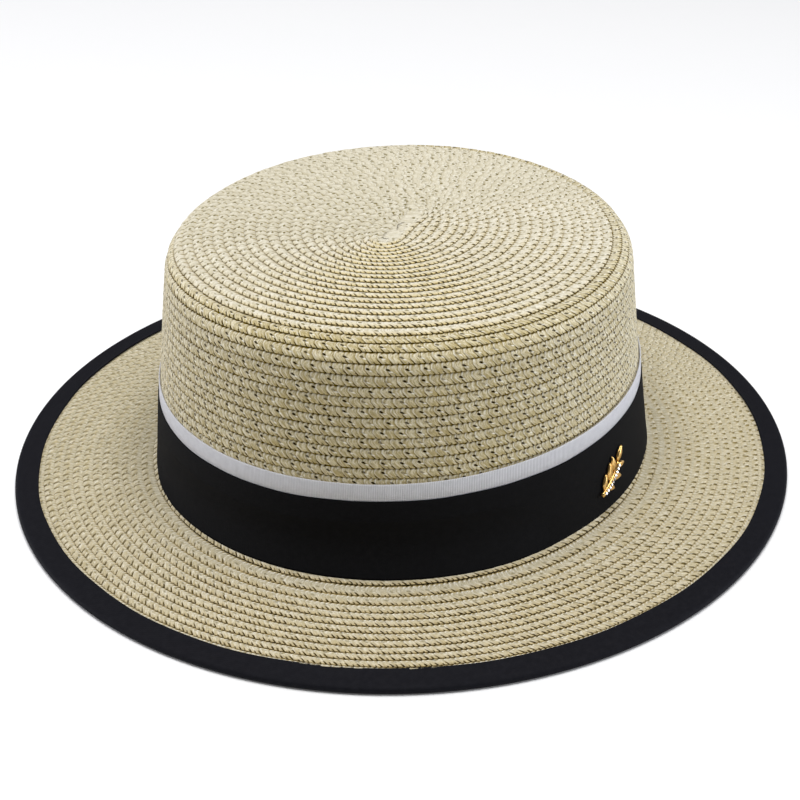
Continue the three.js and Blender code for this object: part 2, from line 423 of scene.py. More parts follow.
class Shading:
    """Builds a node tree: each method adds a node and gives its output; plain numbers become its values."""

    def __init__(self, tree: bpy.types.NodeTree) -> None:
        """Starts from an empty tree."""
        self.tree = tree
        self.tree.nodes.clear()

    def node(self, kind: str, **settings: object) -> bpy.types.Node:
        """Adds a node of a kind and sets its properties."""
        node = self.tree.nodes.new(kind)
        for key, value in settings.items():
            setattr(node, key, value)
        return node

    def feed(self, socket: bpy.types.NodeSocket, value: Amount | Tint) -> None:
        """Links a wire to a socket, or sets the socket's value."""
        if isinstance(value, Wire):
            self.tree.links.new(value.socket, socket)
        elif isinstance(value, tuple) and len(value) == 3 and socket.type == "RGBA":
            socket.default_value = (*value, 1.0)
        else:
            socket.default_value = value

    def math(self, operation: str, *values: Amount, clamp: bool = False) -> Wire:
        """Adds a Math node."""
        node = self.node("ShaderNodeMath", operation=operation, use_clamp=clamp)
        for socket, value in zip(node.inputs, values):
            self.feed(socket, value)
        return Wire(self, node.outputs[0])

    def band(self, value: Amount, low: float, high: float) -> Wire:
        """A smooth step from 0 at low to 1 at high."""
        node = self.node("ShaderNodeMapRange", interpolation_type="SMOOTHSTEP")
        self.feed(node.inputs["Value"], value)
        self.feed(node.inputs["From Min"], low)
        self.feed(node.inputs["From Max"], high)
        return Wire(self, node.outputs["Result"])

    def fall(self, value: Amount, low: float, high: float) -> Wire:
        """A smooth step from 1 at low to 0 at high."""
        return 1.0 - self.band(value, low, high)

    def patch(self, from_line: Wire, width: Amount, along: Wire, reach: Amount) -> Wire:
        """A soft mark along a line.

        Args:
            from_line: Distance from the line.
            width: Half the mark's width.
            along: Distance along the line.
            reach: Where the mark ends.

        Returns:
            A mask, 1 on the mark.
        """
        return self.fall(from_line / width, 0.45, 1.1) * self.fall(along / reach, 0.6, 1.1)

    def scaled(self, value: Amount, low: Amount, high: Amount) -> Wire:
        """Maps 0 to 1 onto low to high."""
        node = self.node("ShaderNodeMapRange", clamp=False)
        self.feed(node.inputs["Value"], value)
        self.feed(node.inputs["To Min"], low)
        self.feed(node.inputs["To Max"], high)
        return Wire(self, node.outputs["Result"])

    def vector(self, x: Amount = 0.0, y: Amount = 0.0, z: Amount = 0.0) -> Wire:
        """Joins three values in a vector."""
        node = self.node("ShaderNodeCombineXYZ")
        for socket, value in zip(node.inputs, (x, y, z)):
            self.feed(socket, value)
        return Wire(self, node.outputs[0])

    def place(self) -> Wire:
        """The object's own coordinates."""
        return Wire(self, self.node("ShaderNodeTexCoord").outputs["Object"])

    def noise(self, vector: Wire, scale: float, detail: float = 2.0, rough: float = 0.5) -> Wire:
        """Adds a Noise Texture's value."""
        node = self.node("ShaderNodeTexNoise")
        self.feed(node.inputs["Vector"], vector)
        node.inputs["Scale"].default_value = scale
        node.inputs["Detail"].default_value = detail
        node.inputs["Roughness"].default_value = rough
        return Wire(self, node.outputs["Fac"])

    def chance(self, vector: Wire) -> Wire:
        """Adds a White Noise Texture's value."""
        node = self.node("ShaderNodeTexWhiteNoise", noise_dimensions="3D")
        self.feed(node.inputs["Vector"], vector)
        return Wire(self, node.outputs["Value"])

    def mix(self, factor: Amount, first: Tint, second: Tint) -> Wire:
        """Mixes two colours."""
        node = self.node("ShaderNodeMix", data_type="RGBA")
        for socket, value in zip((node.inputs[0], *node.inputs[6:8]), (factor, first, second)):
            self.feed(socket, value)
        return Wire(self, node.outputs[2])

    def bump(self, height: Wire, distance: float, strength: float = 1.0) -> Wire:
        """Turns a height into a normal."""
        node = self.node("ShaderNodeBump")
        node.inputs["Strength"].default_value = strength
        node.inputs["Distance"].default_value = distance
        self.feed(node.inputs["Height"], height)
        return Wire(self, node.outputs["Normal"])

    def uv(self, name: str) -> tuple[Wire, Wire]:
        """The two coordinates of a UV map."""
        node = self.node("ShaderNodeUVMap", uv_map=name)
        parts = self.node("ShaderNodeSeparateXYZ")
        self.feed(parts.inputs[0], Wire(self, node.outputs[0]))
        return Wire(self, parts.outputs[0]), Wire(self, parts.outputs[1])

    def group(self, tree: bpy.types.NodeTree, **values: Amount) -> dict[str, Wire]:
        """Places a node group and feeds its inputs by name."""
        node = self.node("ShaderNodeGroup", node_tree=tree)
        for key, value in values.items():
            self.feed(node.inputs[key], value)
        return self.wires(node)

    def wires(self, node: bpy.types.Node) -> dict[str, Wire]:
        """A node's named outputs."""
        return {output.name: Wire(self, output) for output in node.outputs if output.name}


def new_group(name: str, inputs: dict[str, float], outputs: Sequence[str]) -> tuple[
        bpy.types.NodeTree, Shading, dict[str, Wire], bpy.types.Node]:
    """Starts a shader node group of values.

    Args:
        name: The group's name.
        inputs: Its inputs and their defaults.
        outputs: Its outputs.

    Returns:
        The group, its builder, its inputs by name and its output node.
    """
    tree = bpy.data.node_groups.new(name, "ShaderNodeTree")
    for key, default in inputs.items():
        socket = tree.interface.new_socket(key, in_out="INPUT", socket_type="NodeSocketFloat")
        socket.default_value = default
    for key in outputs:
        tree.interface.new_socket(key, in_out="OUTPUT", socket_type="NodeSocketFloat")
    build = Shading(tree)
    source = build.node("NodeGroupInput")
    target = build.node("NodeGroupOutput")
    return tree, build, build.wires(source), target


class PlaitPattern:
    """The pattern of a flat plait: its strands, the creases between them and the stitches down its middle.

    Its group's outputs are masks, most of them from 0 to 1: those for rims, lips and teeth place painted
    highlights, those for creases, holes, nooks, dashes, lines, borders and tucks painted shade. It takes
    these values:
        Along: Place along the plait in strands, level along each strand's sides.
        Inward: Distance from the free edge, in strands.
        Across: 0 where a row comes out from under the one before, 1 at its free edge.
        Side: How far the rows have turned edge on.
        Pale: How far their painted lines give way.
        Slim: Factor on the dashes' widths.
        Longer: What Side adds to the dashes' lengths.

    Attributes:
        INPUTS: These values and their defaults.
        OUTPUTS: The masks' names.
        MIDDLE: Distance inward where one half of the plait's strands passes into the other.
        WANDER: How far a strand strays along the plait.
        FIBRES: Fibres to a strand, along the plait and inward.
        STREAKS: Coarser streaks to a strand, along the plait and inward.
        RIM_AT: Distance of the bright rim from its crease.
        STITCHES: Stitches to a strand.
        STITCH_PLACES: Nearest and furthest distance inward of a stitch.
        STITCH_SLANT: How much a stitch leans along the plait.
        HOLE_SIZES: How often half a hole goes into a strand, along the plait and inward.
        LIP_SIZE: How often half a lip does, either way.
        LIP_SHIFT: How far the lip lies from the hole, along the plait and inward.
        SLANT: Lean of the dashes where rows face the viewer.
        SIDE_SLANT: Lean of the dashes where rows are edge on.
        TOOTH_SLANT: Lean of the teeth.
    """

    INPUTS = {"Along": 0.0, "Inward": 0.0, "Across": 0.5, "Side": 0.0, "Pale": 0.0, "Slim": 1.0,
              "Longer": 0.2}
    OUTPUTS = ("Crease", "Rim", "Strand", "Fibre", "Streak", "Hole", "Lip", "Round", "Nook", "Dash",
               "Tooth", "Line", "Border", "Tuck")
    MIDDLE = 0.59
    WANDER = 0.07
    FIBRES = (4.6, 1.3)
    STREAKS = (12.0, 3.2)
    # RIM_AT: Distance of the rim's painted highlight from its crease.
    RIM_AT = 0.13
    STITCHES = 0.572
    STITCH_PLACES = (0.54, 0.64)
    STITCH_SLANT = 0.3
    HOLE_SIZES = (10.5, 8.5)
    LIP_SIZE = 12.0
    LIP_SHIFT = (0.05, 0.17)
    SLANT = 0.25
    SIDE_SLANT = -0.5
    TOOTH_SLANT = -1.2

    def __init__(self) -> None:
        """Builds the group."""
        self.tree, self.build, inputs, target = new_group("plait", self.INPUTS, self.OUTPUTS)
        self.inputs = inputs
        self.inward, self.side, self.pale = inputs["Inward"], inputs["Side"], inputs["Pale"]
        wander = self.build.noise(self.build.vector(inputs["Along"], self.inward), 0.8)
        self.phase = inputs["Along"] + self.build.scaled(wander, -self.WANDER, self.WANDER)
        self.number = self.build.math("FLOOR", self.phase)
        self.half = self.build.math("GREATER_THAN", self.inward, self.MIDDLE)
        self.from_line = abs(inputs["Across"])
        self.frontal = (1.0 - self.side) * (1.0 - self.pale)
        marks = self._strands()
        marks.update(self._stitches(marks["Streak"]))
        marks.update(self._edges(marks["Streak"], marks["Round"]))
        marks["Dash"] = self._dashes()
        for key in self.OUTPUTS:
            self.build.feed(target.inputs[key], marks[key])

    def _chance(self, number: Wire, *seeds: Amount) -> Wire:
        """A random value for each whole number."""
        return self.build.chance(self.build.vector(number, *seeds))

    def _length(self, along: Wire, across: Wire) -> Wire:
        """Length of a distance given by its two parts."""
        return self.build.math("SQRT", along ** 2.0 + across ** 2.0)

    def _from_whole(self, value: Wire) -> tuple[Wire, Wire]:
        """A value's fraction, and its distance from the nearest whole number."""
        share = self.build.math("FRACT", value)
        return share, self.build.math("MINIMUM", share, 1.0 - share)

    def _strands(self) -> dict[str, Wire]:
        """The strands' colours, fibres and roundness, and the creases between them with their rims: masks for
        painted shade and painted highlights.
        """
        build = self.build
        share, from_crease = self._from_whole(self.phase)
        widened = build.math("MAXIMUM", self.side, self.pale) * 0.05
        signed = share - build.math("GREATER_THAN", share, 0.5)
        fibres = build.vector(self.phase * self.FIBRES[0], self.inward * self.FIBRES[1], self.number)
        streaks = build.vector(self.phase * self.STREAKS[0], self.inward * self.STREAKS[1], self.half)
        return {
            "Crease": build.fall(from_crease - widened, 0.01, 0.075),
            "Rim": build.fall(abs(signed + self.RIM_AT), 0.02, 0.09),
            "Strand": self._chance(self.number, self.half, 3.0),
            "Fibre": build.noise(fibres, 1.0, 2.0, 0.6),
            "Streak": build.noise(streaks, 1.0, 2.0, 0.6),
            "Round": build.math("SINE", share * math.pi),
        }

    def _stitches(self, streak: Wire) -> dict[str, Wire]:
        """The stitches' holes down the middle of the row, some nearly closed, which get painted shade, and
        the painted highlights of their lips.
        """
        build = self.build
        stitch = self.inputs["Along"] * self.STITCHES
        number = build.math("FLOOR", stitch)
        offset = self._chance(number, 7.0, 1.0)
        across = self.inward - build.scaled(offset, *self.STITCH_PLACES)
        along = build.math("FRACT", stitch) - build.scaled(offset, 0.44, 0.56) - across * self.STITCH_SLANT
        ragged = build.scaled(streak, -0.4, 0.4)
        hole_reach = self._length(along * self.HOLE_SIZES[0], across * self.HOLE_SIZES[1])
        lip_along, lip_across = along + self.LIP_SHIFT[0], across + self.LIP_SHIFT[1]
        lip_reach = self._length(lip_along * self.LIP_SIZE, lip_across * self.LIP_SIZE)
        opened = build.band(self._chance(number, 2.0, 5.0), -0.3, 0.5)
        return {
            "Hole": build.fall(hole_reach + ragged, 0.75, 1.25) * opened,
            "Lip": build.fall(lip_reach + ragged, 0.6, 1.3),
        }

    def _edges(self, streak: Wire, rounding: Wire) -> dict[str, Wire]:
        """What shows where a row comes out from under the one before: painted highlights on its teeth, and
        painted shade in its nooks, tucks, lines and strand borders.
        """
        build, across, from_line = self.build, self.inputs["Across"], self.from_line
        height = self._from_tooth() * 1.7 + from_line
        tooth = build.fall(height, 0.32, 0.6) * build.fall(from_line, 0.22, 0.36)
        tooth = tooth * build.scaled(self.frontal, 0.1, 1.0)
        tuck = build.fall(from_line + build.scaled(streak, -0.05, 0.05), 0.05, 0.16)
        # Noise that breaks the painted shadow line into darker dashes and lighter links.
        wear_and_shade_gaps = build.noise(build.vector(self.phase * 1.3, 4.0, self.half), 1.0, 2.0, 0.6)
        lit = build.math("SINE", build.math("ABSOLUTE", across, clamp=True) * math.pi)
        return {
            "Tooth": tooth,
            "Tuck": tuck,
            "Line": tuck * build.scaled(build.band(wear_and_shade_gaps, 0.35, 0.65), 0.25, 1.25),
            "Nook": build.fall(from_line, 0.0, 0.26) * (1.0 - tooth * 0.8),
            "Border": (1.0 - rounding * lit) ** 1.6,
        }

    def _from_tooth(self) -> Wire:
        """Distance from the nearest tooth's middle along the row; there are two teeth to a strand."""
        saw = self.build.math("FRACT", self.phase * 2.0 + self.inputs["Across"] * self.TOOTH_SLANT)
        return abs(saw - 0.5)

    def _dashes(self) -> Wire:
        """Painted shadows: the dark dashes between strands at the free edge, with shorter ones and spots
        between them.
        """
        build, inputs, inward, side, pale = self.build, self.inputs, self.inward, self.side, self.pale
        first, second = self._chance(self.number, 11.0, 4.0), self._chance(self.number, 17.0, 9.0)
        slant = build.scaled(side, self.SLANT, self.SIDE_SLANT)
        slanted, from_dash = self._from_whole(self.phase - inward * slant)
        width = build.scaled(first, 0.06, 0.14) * inputs["Slim"] + pale * 0.05
        length = build.scaled(second, 0.2, 0.46) + side * inputs["Longer"] - pale * 0.14
        dash = build.patch(from_dash, width, inward, length)
        half_place = build.scaled(first, 0.42, 0.58) - inward * build.scaled(side, self.SLANT, 0.0)
        half_width = build.scaled(second, 0.05, 0.12) * inputs["Slim"]
        half_length = build.scaled(first, 0.1, 0.28)
        half_dash = build.patch(abs(slanted - half_place), half_width, inward, half_length)
        spot = build.fall((0.5 - self._from_tooth()) * 2.2 + self.from_line * 2.6, 0.25, 0.75)
        spot = spot * build.scaled(self._chance(build.math("FLOOR", self.phase * 2.0), 5.0, 2.0), 0.1, 1.3)
        between = build.math("MAXIMUM", half_dash * 0.9, spot)
        return build.math("MAXIMUM", dash, between * self.frontal)


def cloth_group() -> bpy.types.NodeTree:
    """Threads of a cloth: ribs across it, a fine weave and slow unevenness.

    Returns:
        A group that takes Along and Across in metres, and the threads' pitches in metres.
    """
    tree, build, inputs, target = new_group(
        "cloth", {"Along": 0.0, "Across": 0.0, "Rib": 0.0006, "Weave": 0.0004, "Lean": 0.0},
        ("Ribs", "Threads", "Patches"))
    lean = inputs["Across"] * inputs["Lean"]
    slanted = inputs["Along"] + lean
    turn = slanted / inputs["Rib"] * (2 * math.pi)
    ribs = build.scaled(build.math("SINE", turn), 0.5, 1.0)
    warp = build.math("SINE", inputs["Along"] / inputs["Weave"] * (2 * math.pi))
    weft = build.math("SINE", inputs["Across"] / inputs["Weave"] * (2 * math.pi))
    threads = build.scaled(warp * weft, 0.5, 1.0)
    place = build.vector(inputs["Along"], inputs["Across"])
    patches = build.noise(place, 420.0, 3.0, 0.6)
    for key, value in (("Ribs", ribs), ("Threads", threads), ("Patches", patches)):
        build.feed(target.inputs[key], value)
    return tree


class Groups:
    """The shader node groups that the materials share, each made once."""

    def __init__(self) -> None:
        """Builds the groups."""
        self.plait = PlaitPattern().tree
        self.cloth = cloth_group()


def new_material(name: str) -> tuple[bpy.types.Material, Shading, bpy.types.Node]:
    """Starts a material.

    Args:
        name: The material's name.

    Returns:
        The material, its builder and its Principled node.
    """
    material = bpy.data.materials.new(name)
    material.use_nodes = True
    build = Shading(material.node_tree)
    shader = build.node("ShaderNodeBsdfPrincipled")
    output = build.node("ShaderNodeOutputMaterial")
    build.tree.links.new(shader.outputs[0], output.inputs["Surface"])
    return material, build, shader


@dataclass(frozen=True)
class RowWires:
    """What a straw's finish knows of each place on a row.

    Attributes:
        marks: The plait's pattern.
        inward: Distance from the free edge, in strands.
        across: 0 where the row comes out from under the one before, 1 at its free edge.
        wall: How much of the cut side shows.
        shown: 1 on the outside, 0 on the underside.
        pale: How far the painted lines give way.
        strong: How much of the lines is left.
        edge_on: How far the row has turned edge on.
        side: The same, as far as the finish takes part in it.
        spots: How much darker and longer the dashes are.
    """

    marks: dict[str, Wire]
    inward: Wire
    across: Wire
    wall: Wire
    shown: Wire
    pale: Wire
    strong: Wire
    edge_on: Wire
    side: Wire
    spots: Wire


@dataclass(frozen=True)
class StrawFinish:
    """Cream paper straw, matt, with golden brown painted shade in the plait's creases and lines and painted
    highlights on rims, teeth and lips.

    Attributes:
        name: The material's name.
        light: Colour of the palest strands.
        deep: Colour of the darkest strands, and of the painted shade where the painted lines give way.
        gold: Painted warm shade on the side of a row's free edge, and where the row comes out from under the
            one before.
        crease: Painted shade between strands and beside the row before.
        crevice: Colour of the dashes, painted shadows between strands.
        line: Painted shadow in the lines between rows.
        knit: Painted shade on a row's strand borders where its painted lines give way.
        hole: Painted shade in the stitches' holes.
        bright: Colour of pale fibres, of painted highlights on rims, lips and teeth, and of painted light
            where rows are edge on.
        creases: Strength of the creases' bump and of their painted shade.
        upper: How much of a crease is left away from the free edge.
        nooks: Strength of the shade beside the row before.
        holes: Strength of the stitches' holes, their painted shade and the painted highlights of their lips.
        teeth: Strength of the painted highlights and bumps of the teeth beside the row before.
        walls: Strength of the painted warm shade on the side of a row's free edge.
        lines: Strength of the painted shadow lines between rows.
        slim: Factor on the dashes' widths where rows face the viewer.
        turning: How much a row changes where it is edge on.
        longer: What being edge on adds to the dashes' lengths.
        rungs: Strength of the creases beside the row before where it is edge on.
        fading: How much weaker the painted shadow lines are where rows are edge on.
        soft: How much of a crease is left where the painted lines give way.
        shade: Strength of the painted shade that darkens the straw there.
        borders: Strength of the painted shade on a row's strand borders there.
        seams: How much of the painted shadow line lies on the side of the row's free edge.
        edge_on_light: Painted light: how much paler the straw is where rows are edge on.
        tint: Strength of the painted warm shade where a row comes out from under the one before.
        easing: How much of the lines' strength goes where they ease off.
        side_slim: Factor on the dashes' widths where rows are edge on.
        side_dash: Colour of the painted shadow dashes there.
        strips: Strength of the painted warm shade strip along a row there.
        spots: How much darker and longer the painted shadow dashes are there, as far as the lines ease off
            too.
        fibres: Strength of the fibres' colours.
        rough: Mean roughness.
    """

    name: str
    light: Colour
    deep: Colour
    gold: Colour = (0.73, 0.555, 0.15)
    crease: Colour = (0.335, 0.235, 0.035)
    crevice: Colour = (0.085, 0.050, 0.0)
    line: Colour = (0.20, 0.13, 0.0)
    knit: Colour = (0.32, 0.275, 0.15)
    hole: Colour = (0.03, 0.017, 0.0)
    bright: Colour = (0.98, 0.95, 0.84)
    creases: float = 0.9
    upper: float = 0.35
    nooks: float = 0.45
    holes: float = 1.0
    teeth: float = 0.15
    walls: float = 0.45
    lines: float = 0.6
    slim: float = 1.0
    turning: float = 1.0
    longer: float = 0.2
    rungs: float = 1.0
    fading: float = 0.4
    soft: float = 0.35
    shade: float = 0.0
    borders: float = 0.45
    seams: float = 1.0
    edge_on_light: float = 0.0
    tint: float = 0.0
    easing: float = 0.0
    side_slim: float = 1.1
    side_dash: Colour = (0.31, 0.24, 0.09)
    strips: float = 0.0
    spots: float = 0.0
    fibres: float = 1.0
    rough: float = 0.72

    def build(self, groups: Groups) -> bpy.types.Material:
        """Makes the material.

        Args:
            groups: The shared node groups.

        Returns:
            The material.
        """
        material, build, shader = new_material(self.name)
        row = self._read(build, groups)
        marks = row.marks
        depth = self._depth(build, row)
        # Teeth: bumps with painted highlights.
        tooth = marks["Tooth"] * row.shown * self.teeth
        # Dashes: dips with painted shadow.
        dash = marks["Dash"] * row.shown * build.scaled(row.strong, 0.6, 1.0)
        # Holes: dips with painted shade, less of it under the painted light where rows are edge on.
        open_part = build.math("ADD", row.pale * 0.1, self.holes, clamp=True)
        hole = marks["Hole"] * open_part * row.shown * build.scaled(row.edge_on, 1.0, 1.0 - 1.6 * self.edge_on_light)
        colour = self._strands(build, row)
        colour = self._creased(build, row, colour, depth)
        colour = self._lined(build, row, colour, tooth)
        # Painted shadow in the dashes.
        dashed = build.mix(row.spots, self.side_dash, tuple(0.5 * part for part in self.side_dash))
        colour = build.mix(dash, colour, build.mix(row.side, self.crevice, dashed))
        # Painted highlights of the holes' lips, and painted shade in the holes.
        colour = build.mix(marks["Lip"] * self.holes * 0.8, colour, self.bright)
        colour = build.mix(hole, colour, self.hole)
        build.feed(shader.inputs["Base Color"], colour)
        rough = build.scaled(marks["Fibre"], self.rough - 0.12, self.rough + 0.12)
        build.feed(shader.inputs["Roughness"], rough)
        height = marks["Fibre"] + marks["Round"] * 0.35 + marks["Streak"] * 0.3
        height = height - depth * self.creases + tooth * 0.8 - build.math("MAXIMUM", hole, dash) * 1.4
        build.feed(shader.inputs["Normal"], build.bump(height, 0.30 * MM, 0.9))
        shader.inputs["Specular IOR Level"].default_value = 0.04
        return material

    def _read(self, build: Shading, groups: Groups) -> RowWires:
        """Reads the rows' UV maps and places the plait's pattern.

        Args:
            build: The material's builder.
            groups: The shared node groups.

        Returns:
            The wires that the finish is built from.
        """
        along, inward = build.uv("plait")
        across, wall = build.uv("row")
        under, pale = build.uv("face")
        edge_on, eased = build.uv("turn")
        pale = build.math("ADD", pale, eased * self.easing, clamp=True)
        side = edge_on * self.turning
        spots = eased * self.spots
        slim = build.scaled(edge_on, self.slim, self.side_slim)
        marks = build.group(groups.plait, Along=along, Inward=inward, Across=across, Side=side, Pale=pale,
                            Slim=slim, Longer=spots * 0.36 + self.longer)
        return RowWires(marks, inward, across, wall, 1.0 - under, pale, 1.0 - pale, edge_on, side, spots)

    def _strands(self, build: Shading, row: RowWires) -> Wire:
        """The strands' own colours, with darker and brighter fibres, and painted light where rows are edge
        on.
        """
        marks, fibres = row.marks, self.fibres
        dark = tuple(0.62 * part for part in self.deep)
        colour = build.mix(build.scaled(marks["Strand"], 0.0, 0.45), self.light, self.deep)
        colour = build.mix(build.band(marks["Fibre"], 0.46, 0.62) * (0.75 * fibres), colour, self.deep)
        colour = build.mix(build.band(marks["Streak"], 0.48, 0.66) * (0.45 * fibres), colour, dark)
        colour = build.mix(build.fall(marks["Fibre"], 0.3, 0.44) * (0.5 * fibres), colour, self.bright)
        # Painted light: paler straw where the rows are edge on.
        return build.mix(row.edge_on * self.edge_on_light, colour, self.bright)

    def _depth(self, build: Shading, row: RowWires) -> Wire:
        """How deep the creases are: most near the free edge, and on rows edge on beside the row before."""
        near_edge = build.fall(row.inward, 0.05, 0.6)
        near_line = build.fall(row.across, 0.15, 0.5)
        rungs = near_line * row.side * (row.shown * self.rungs)
        upper = build.math("MAXIMUM", row.pale * self.soft, self.upper)
        return row.marks["Crease"] * build.math("MAXIMUM", rungs, build.scaled(near_edge, upper, 1.0))

    def _creased(self, build: Shading, row: RowWires, colour: Wire, depth: Wire) -> Wire:
        """Adds painted shade where the painted lines give way and on strand borders, painted highlights on
        crease rims, and painted shade in creases and nooks.
        """
        marks = row.marks
        colour = build.mix(row.pale * self.shade, colour, self.deep)
        colour = build.mix(marks["Border"] * row.pale * self.borders, colour, self.knit)
        rim = marks["Rim"] * build.scaled(row.pale, 0.4 * self.creases, 0.8 * self.creases)
        colour = build.mix(rim, colour, self.bright)
        colour = build.mix(depth * self.creases, colour, self.crease)
        return build.mix(marks["Nook"] * (row.shown * self.nooks) * row.strong, colour, self.crease)

    def _lined(self, build: Shading, row: RowWires, colour: Wire, tooth: Wire) -> Wire:
        """Adds painted warm shade on free edges, strips and tucks, painted highlights on teeth, and painted
        shadow lines.
        """
        marks = row.marks
        wall = row.wall * (row.strong * build.scaled(row.side, 1.0, 0.2))
        strip = build.band(row.inward, 0.3, 0.44) * build.fall(row.inward, 0.6, 0.76) * (row.side * row.shown)
        colour = build.mix(strip * self.strips, colour, self.gold)
        colour = build.mix(wall * self.walls, colour, self.gold)
        seam = build.band(wall, 0.84, 0.98) * self.seams
        line = build.math("MAXIMUM", seam, marks["Line"] * row.shown)
        line = line * row.strong * build.scaled(row.side, self.lines, self.lines * (1 - self.fading))
        colour = build.mix(tooth, colour, self.bright)
        tuck = marks["Tuck"] * (row.shown * row.strong)
        colour = build.mix(tuck * build.scaled(row.side, self.tint, 0.0), colour, self.gold)
        return build.mix(line, colour, self.line)


@dataclass(frozen=True)
class ClothFinish:
    """A woven or knitted cloth, with ribs, threads and slow unevenness."""

    name: str
    colour: Colour
    patch: Colour
    rough: float = 0.9
    rib: float = 0.6 * MM
    weave: float = 0.45 * MM
    lean: float = 0.0
    rib_height: float = 1.0
    thread_height: float = 0.5
    patch_height: float = 0.5
    rib_shade: float = 0.0
    depth: float = 0.08 * MM
    specular: float = 0.3

    def build(self, groups: Groups) -> bpy.types.Material:
        """Makes the material.

        Args:
            groups: The shared node groups.

        Returns:
            The material.
        """
        material, build, shader = new_material(self.name)
        along, across = build.uv("cloth")
        cloth = build.group(groups.cloth, Along=along, Across=across, Rib=self.rib, Weave=self.weave,
                            Lean=self.lean)
        colour = build.mix(build.band(cloth["Patches"], 0.3, 0.75), self.colour, self.patch)
        shade = (1.0 - cloth["Ribs"]) * self.rib_shade
        colour = build.mix(shade, colour, tuple(0.45 * part for part in self.colour))
        build.feed(shader.inputs["Base Color"], colour)
        rough = build.scaled(cloth["Patches"], self.rough - 0.08, self.rough + 0.08)
        build.feed(shader.inputs["Roughness"], rough)
        height = cloth["Ribs"] * self.rib_height
        height = height + cloth["Threads"] * self.thread_height
        height = height + cloth["Patches"] * self.patch_height
        build.feed(shader.inputs["Normal"], build.bump(height, self.depth))
        shader.inputs["Specular IOR Level"].default_value = self.specular
        return material


@dataclass(frozen=True)
class GoldFinish:
    """Polished gold plate with faint handling marks."""

    name: str = "gold_plate"
    colour: Colour = (0.92, 0.60, 0.22)
    rough: float = 0.27

    def build(self) -> bpy.types.Material:
        """Makes the material."""
        material, build, shader = new_material(self.name)
        place = build.place()
        marks = build.noise(place, 900.0, 3.0)
        build.feed(shader.inputs["Base Color"], build.mix(marks, self.colour, (0.82, 0.5, 0.16)))
        build.feed(shader.inputs["Roughness"], build.scaled(marks, self.rough - 0.08, self.rough + 0.15))
        build.feed(shader.inputs["Normal"], build.bump(marks, 0.03 * MM))
        shader.inputs["Metallic"].default_value = 1.0
        return material


@dataclass(frozen=True)
class StoneFinish:
    """Small clear cut stones, bright silver-white."""

    name: str = "clear_stones"
    colour: Colour = (0.93, 0.94, 0.97)

    def build(self) -> bpy.types.Material:
        """Makes the material."""
        material, build, shader = new_material(self.name)
        place = build.place()
        # The sparkle noise paints lighter and darker flecks into the stones' colour: painted glints.
        sparkle = build.noise(place, 1500.0, 1.0)
        build.feed(shader.inputs["Base Color"], build.mix(sparkle, self.colour, (0.7, 0.72, 0.78)))
        build.feed(shader.inputs["Roughness"], build.scaled(sparkle, 0.02, 0.16))
        shader.inputs["Metallic"].default_value = 0.7
        shader.inputs["Coat Weight"].default_value = 1.0
        return material


# ------------------------------
# Straw: the spiral and its plait
# ------------------------------


@dataclass(frozen=True)
class TurnShape:
    """How one turn of the plait lies, in millimetres from the middle of the top along the hat's section.

    Attributes:
        turn: The turn's number, counted from the middle.
        mean: Its free edge's distance, taken all round.
        right: What is added towards +X, and taken away towards -X.
        back: What is added towards +Y, and taken away towards -Y.
        across: What is added along X and taken away along Y.
        slanting: The same, between the two.
    """

    turn: float
    mean: float
    right: float
    back: float
    across: float
    slanting: float


@dataclass(frozen=True)
class SectionPoint:
    """One point of the plait's cross-section.

    Attributes:
        inward: Distance from the plait's free edge.
        lift: Height above the plait's underside.
        relief: How much of the strands' relief shows there; negative on the underside.
        notch: How much of the scallops between strands shows there.
        wall: How much painted warm shade the free edge's side gets there.
    """

    inward: float
    lift: float
    relief: float
    notch: float = 0.0
    wall: float = 0.0


@dataclass(frozen=True)
class StrandPhase:
    """One place along a strand's width: where it is, how high it stands and how far the edge draws in."""

    share: float
    height: float
    draw: float


class Detail(Enum):
    """How finely a stretch of the plait is made."""

    SHOWN = "shown"
    COVERED = "covered"


FULL_SECTION = (
    SectionPoint(6.30 * MM, 0.20 * MM, 0.0),
    SectionPoint(4.70 * MM, 0.30 * MM, 0.1),
    SectionPoint(3.85 * MM, 0.36 * MM, 0.15),
    SectionPoint(3.40 * MM, 0.48 * MM, 0.25),
    SectionPoint(2.90 * MM, 0.61 * MM, 0.3),
    SectionPoint(2.10 * MM, 0.70 * MM, 0.35, 0.0, 0.05),
    SectionPoint(1.20 * MM, 0.70 * MM, 0.5, 0.1, 0.25),
    SectionPoint(0.50 * MM, 0.59 * MM, 0.9, 0.5, 0.5),
    SectionPoint(0.12 * MM, 0.41 * MM, 1.0, 1.0, 0.85),
    SectionPoint(0.00 * MM, 0.21 * MM, 0.6, 1.0, 1.0),
    SectionPoint(0.20 * MM, 0.02 * MM, -0.3, 1.0, 1.0),
    SectionPoint(2.20 * MM, 0.00 * MM, -0.5),
    SectionPoint(4.40 * MM, 0.02 * MM, -0.5),
)

COVERED_SECTION = (
    SectionPoint(6.30 * MM, 0.20 * MM, 0.0),
    SectionPoint(3.60 * MM, 0.38 * MM, 0.0),
    SectionPoint(0.50 * MM, 0.55 * MM, 0.0),
    SectionPoint(0.00 * MM, 0.22 * MM, 0.0, 0.0, 1.0),
    SectionPoint(0.40 * MM, 0.03 * MM, -0.3, 0.0, 1.0),
    SectionPoint(2.20 * MM, 0.00 * MM, -0.6),
    SectionPoint(4.40 * MM, 0.02 * MM, -0.6),
)

PHASES = (
    StrandPhase(0.00, -0.16 * MM, 0.34 * MM),
    StrandPhase(0.14, 0.00 * MM, 0.07 * MM),
    StrandPhase(0.50, 0.03 * MM, 0.05 * MM),
    StrandPhase(0.86, 0.04 * MM, 0.02 * MM),
)


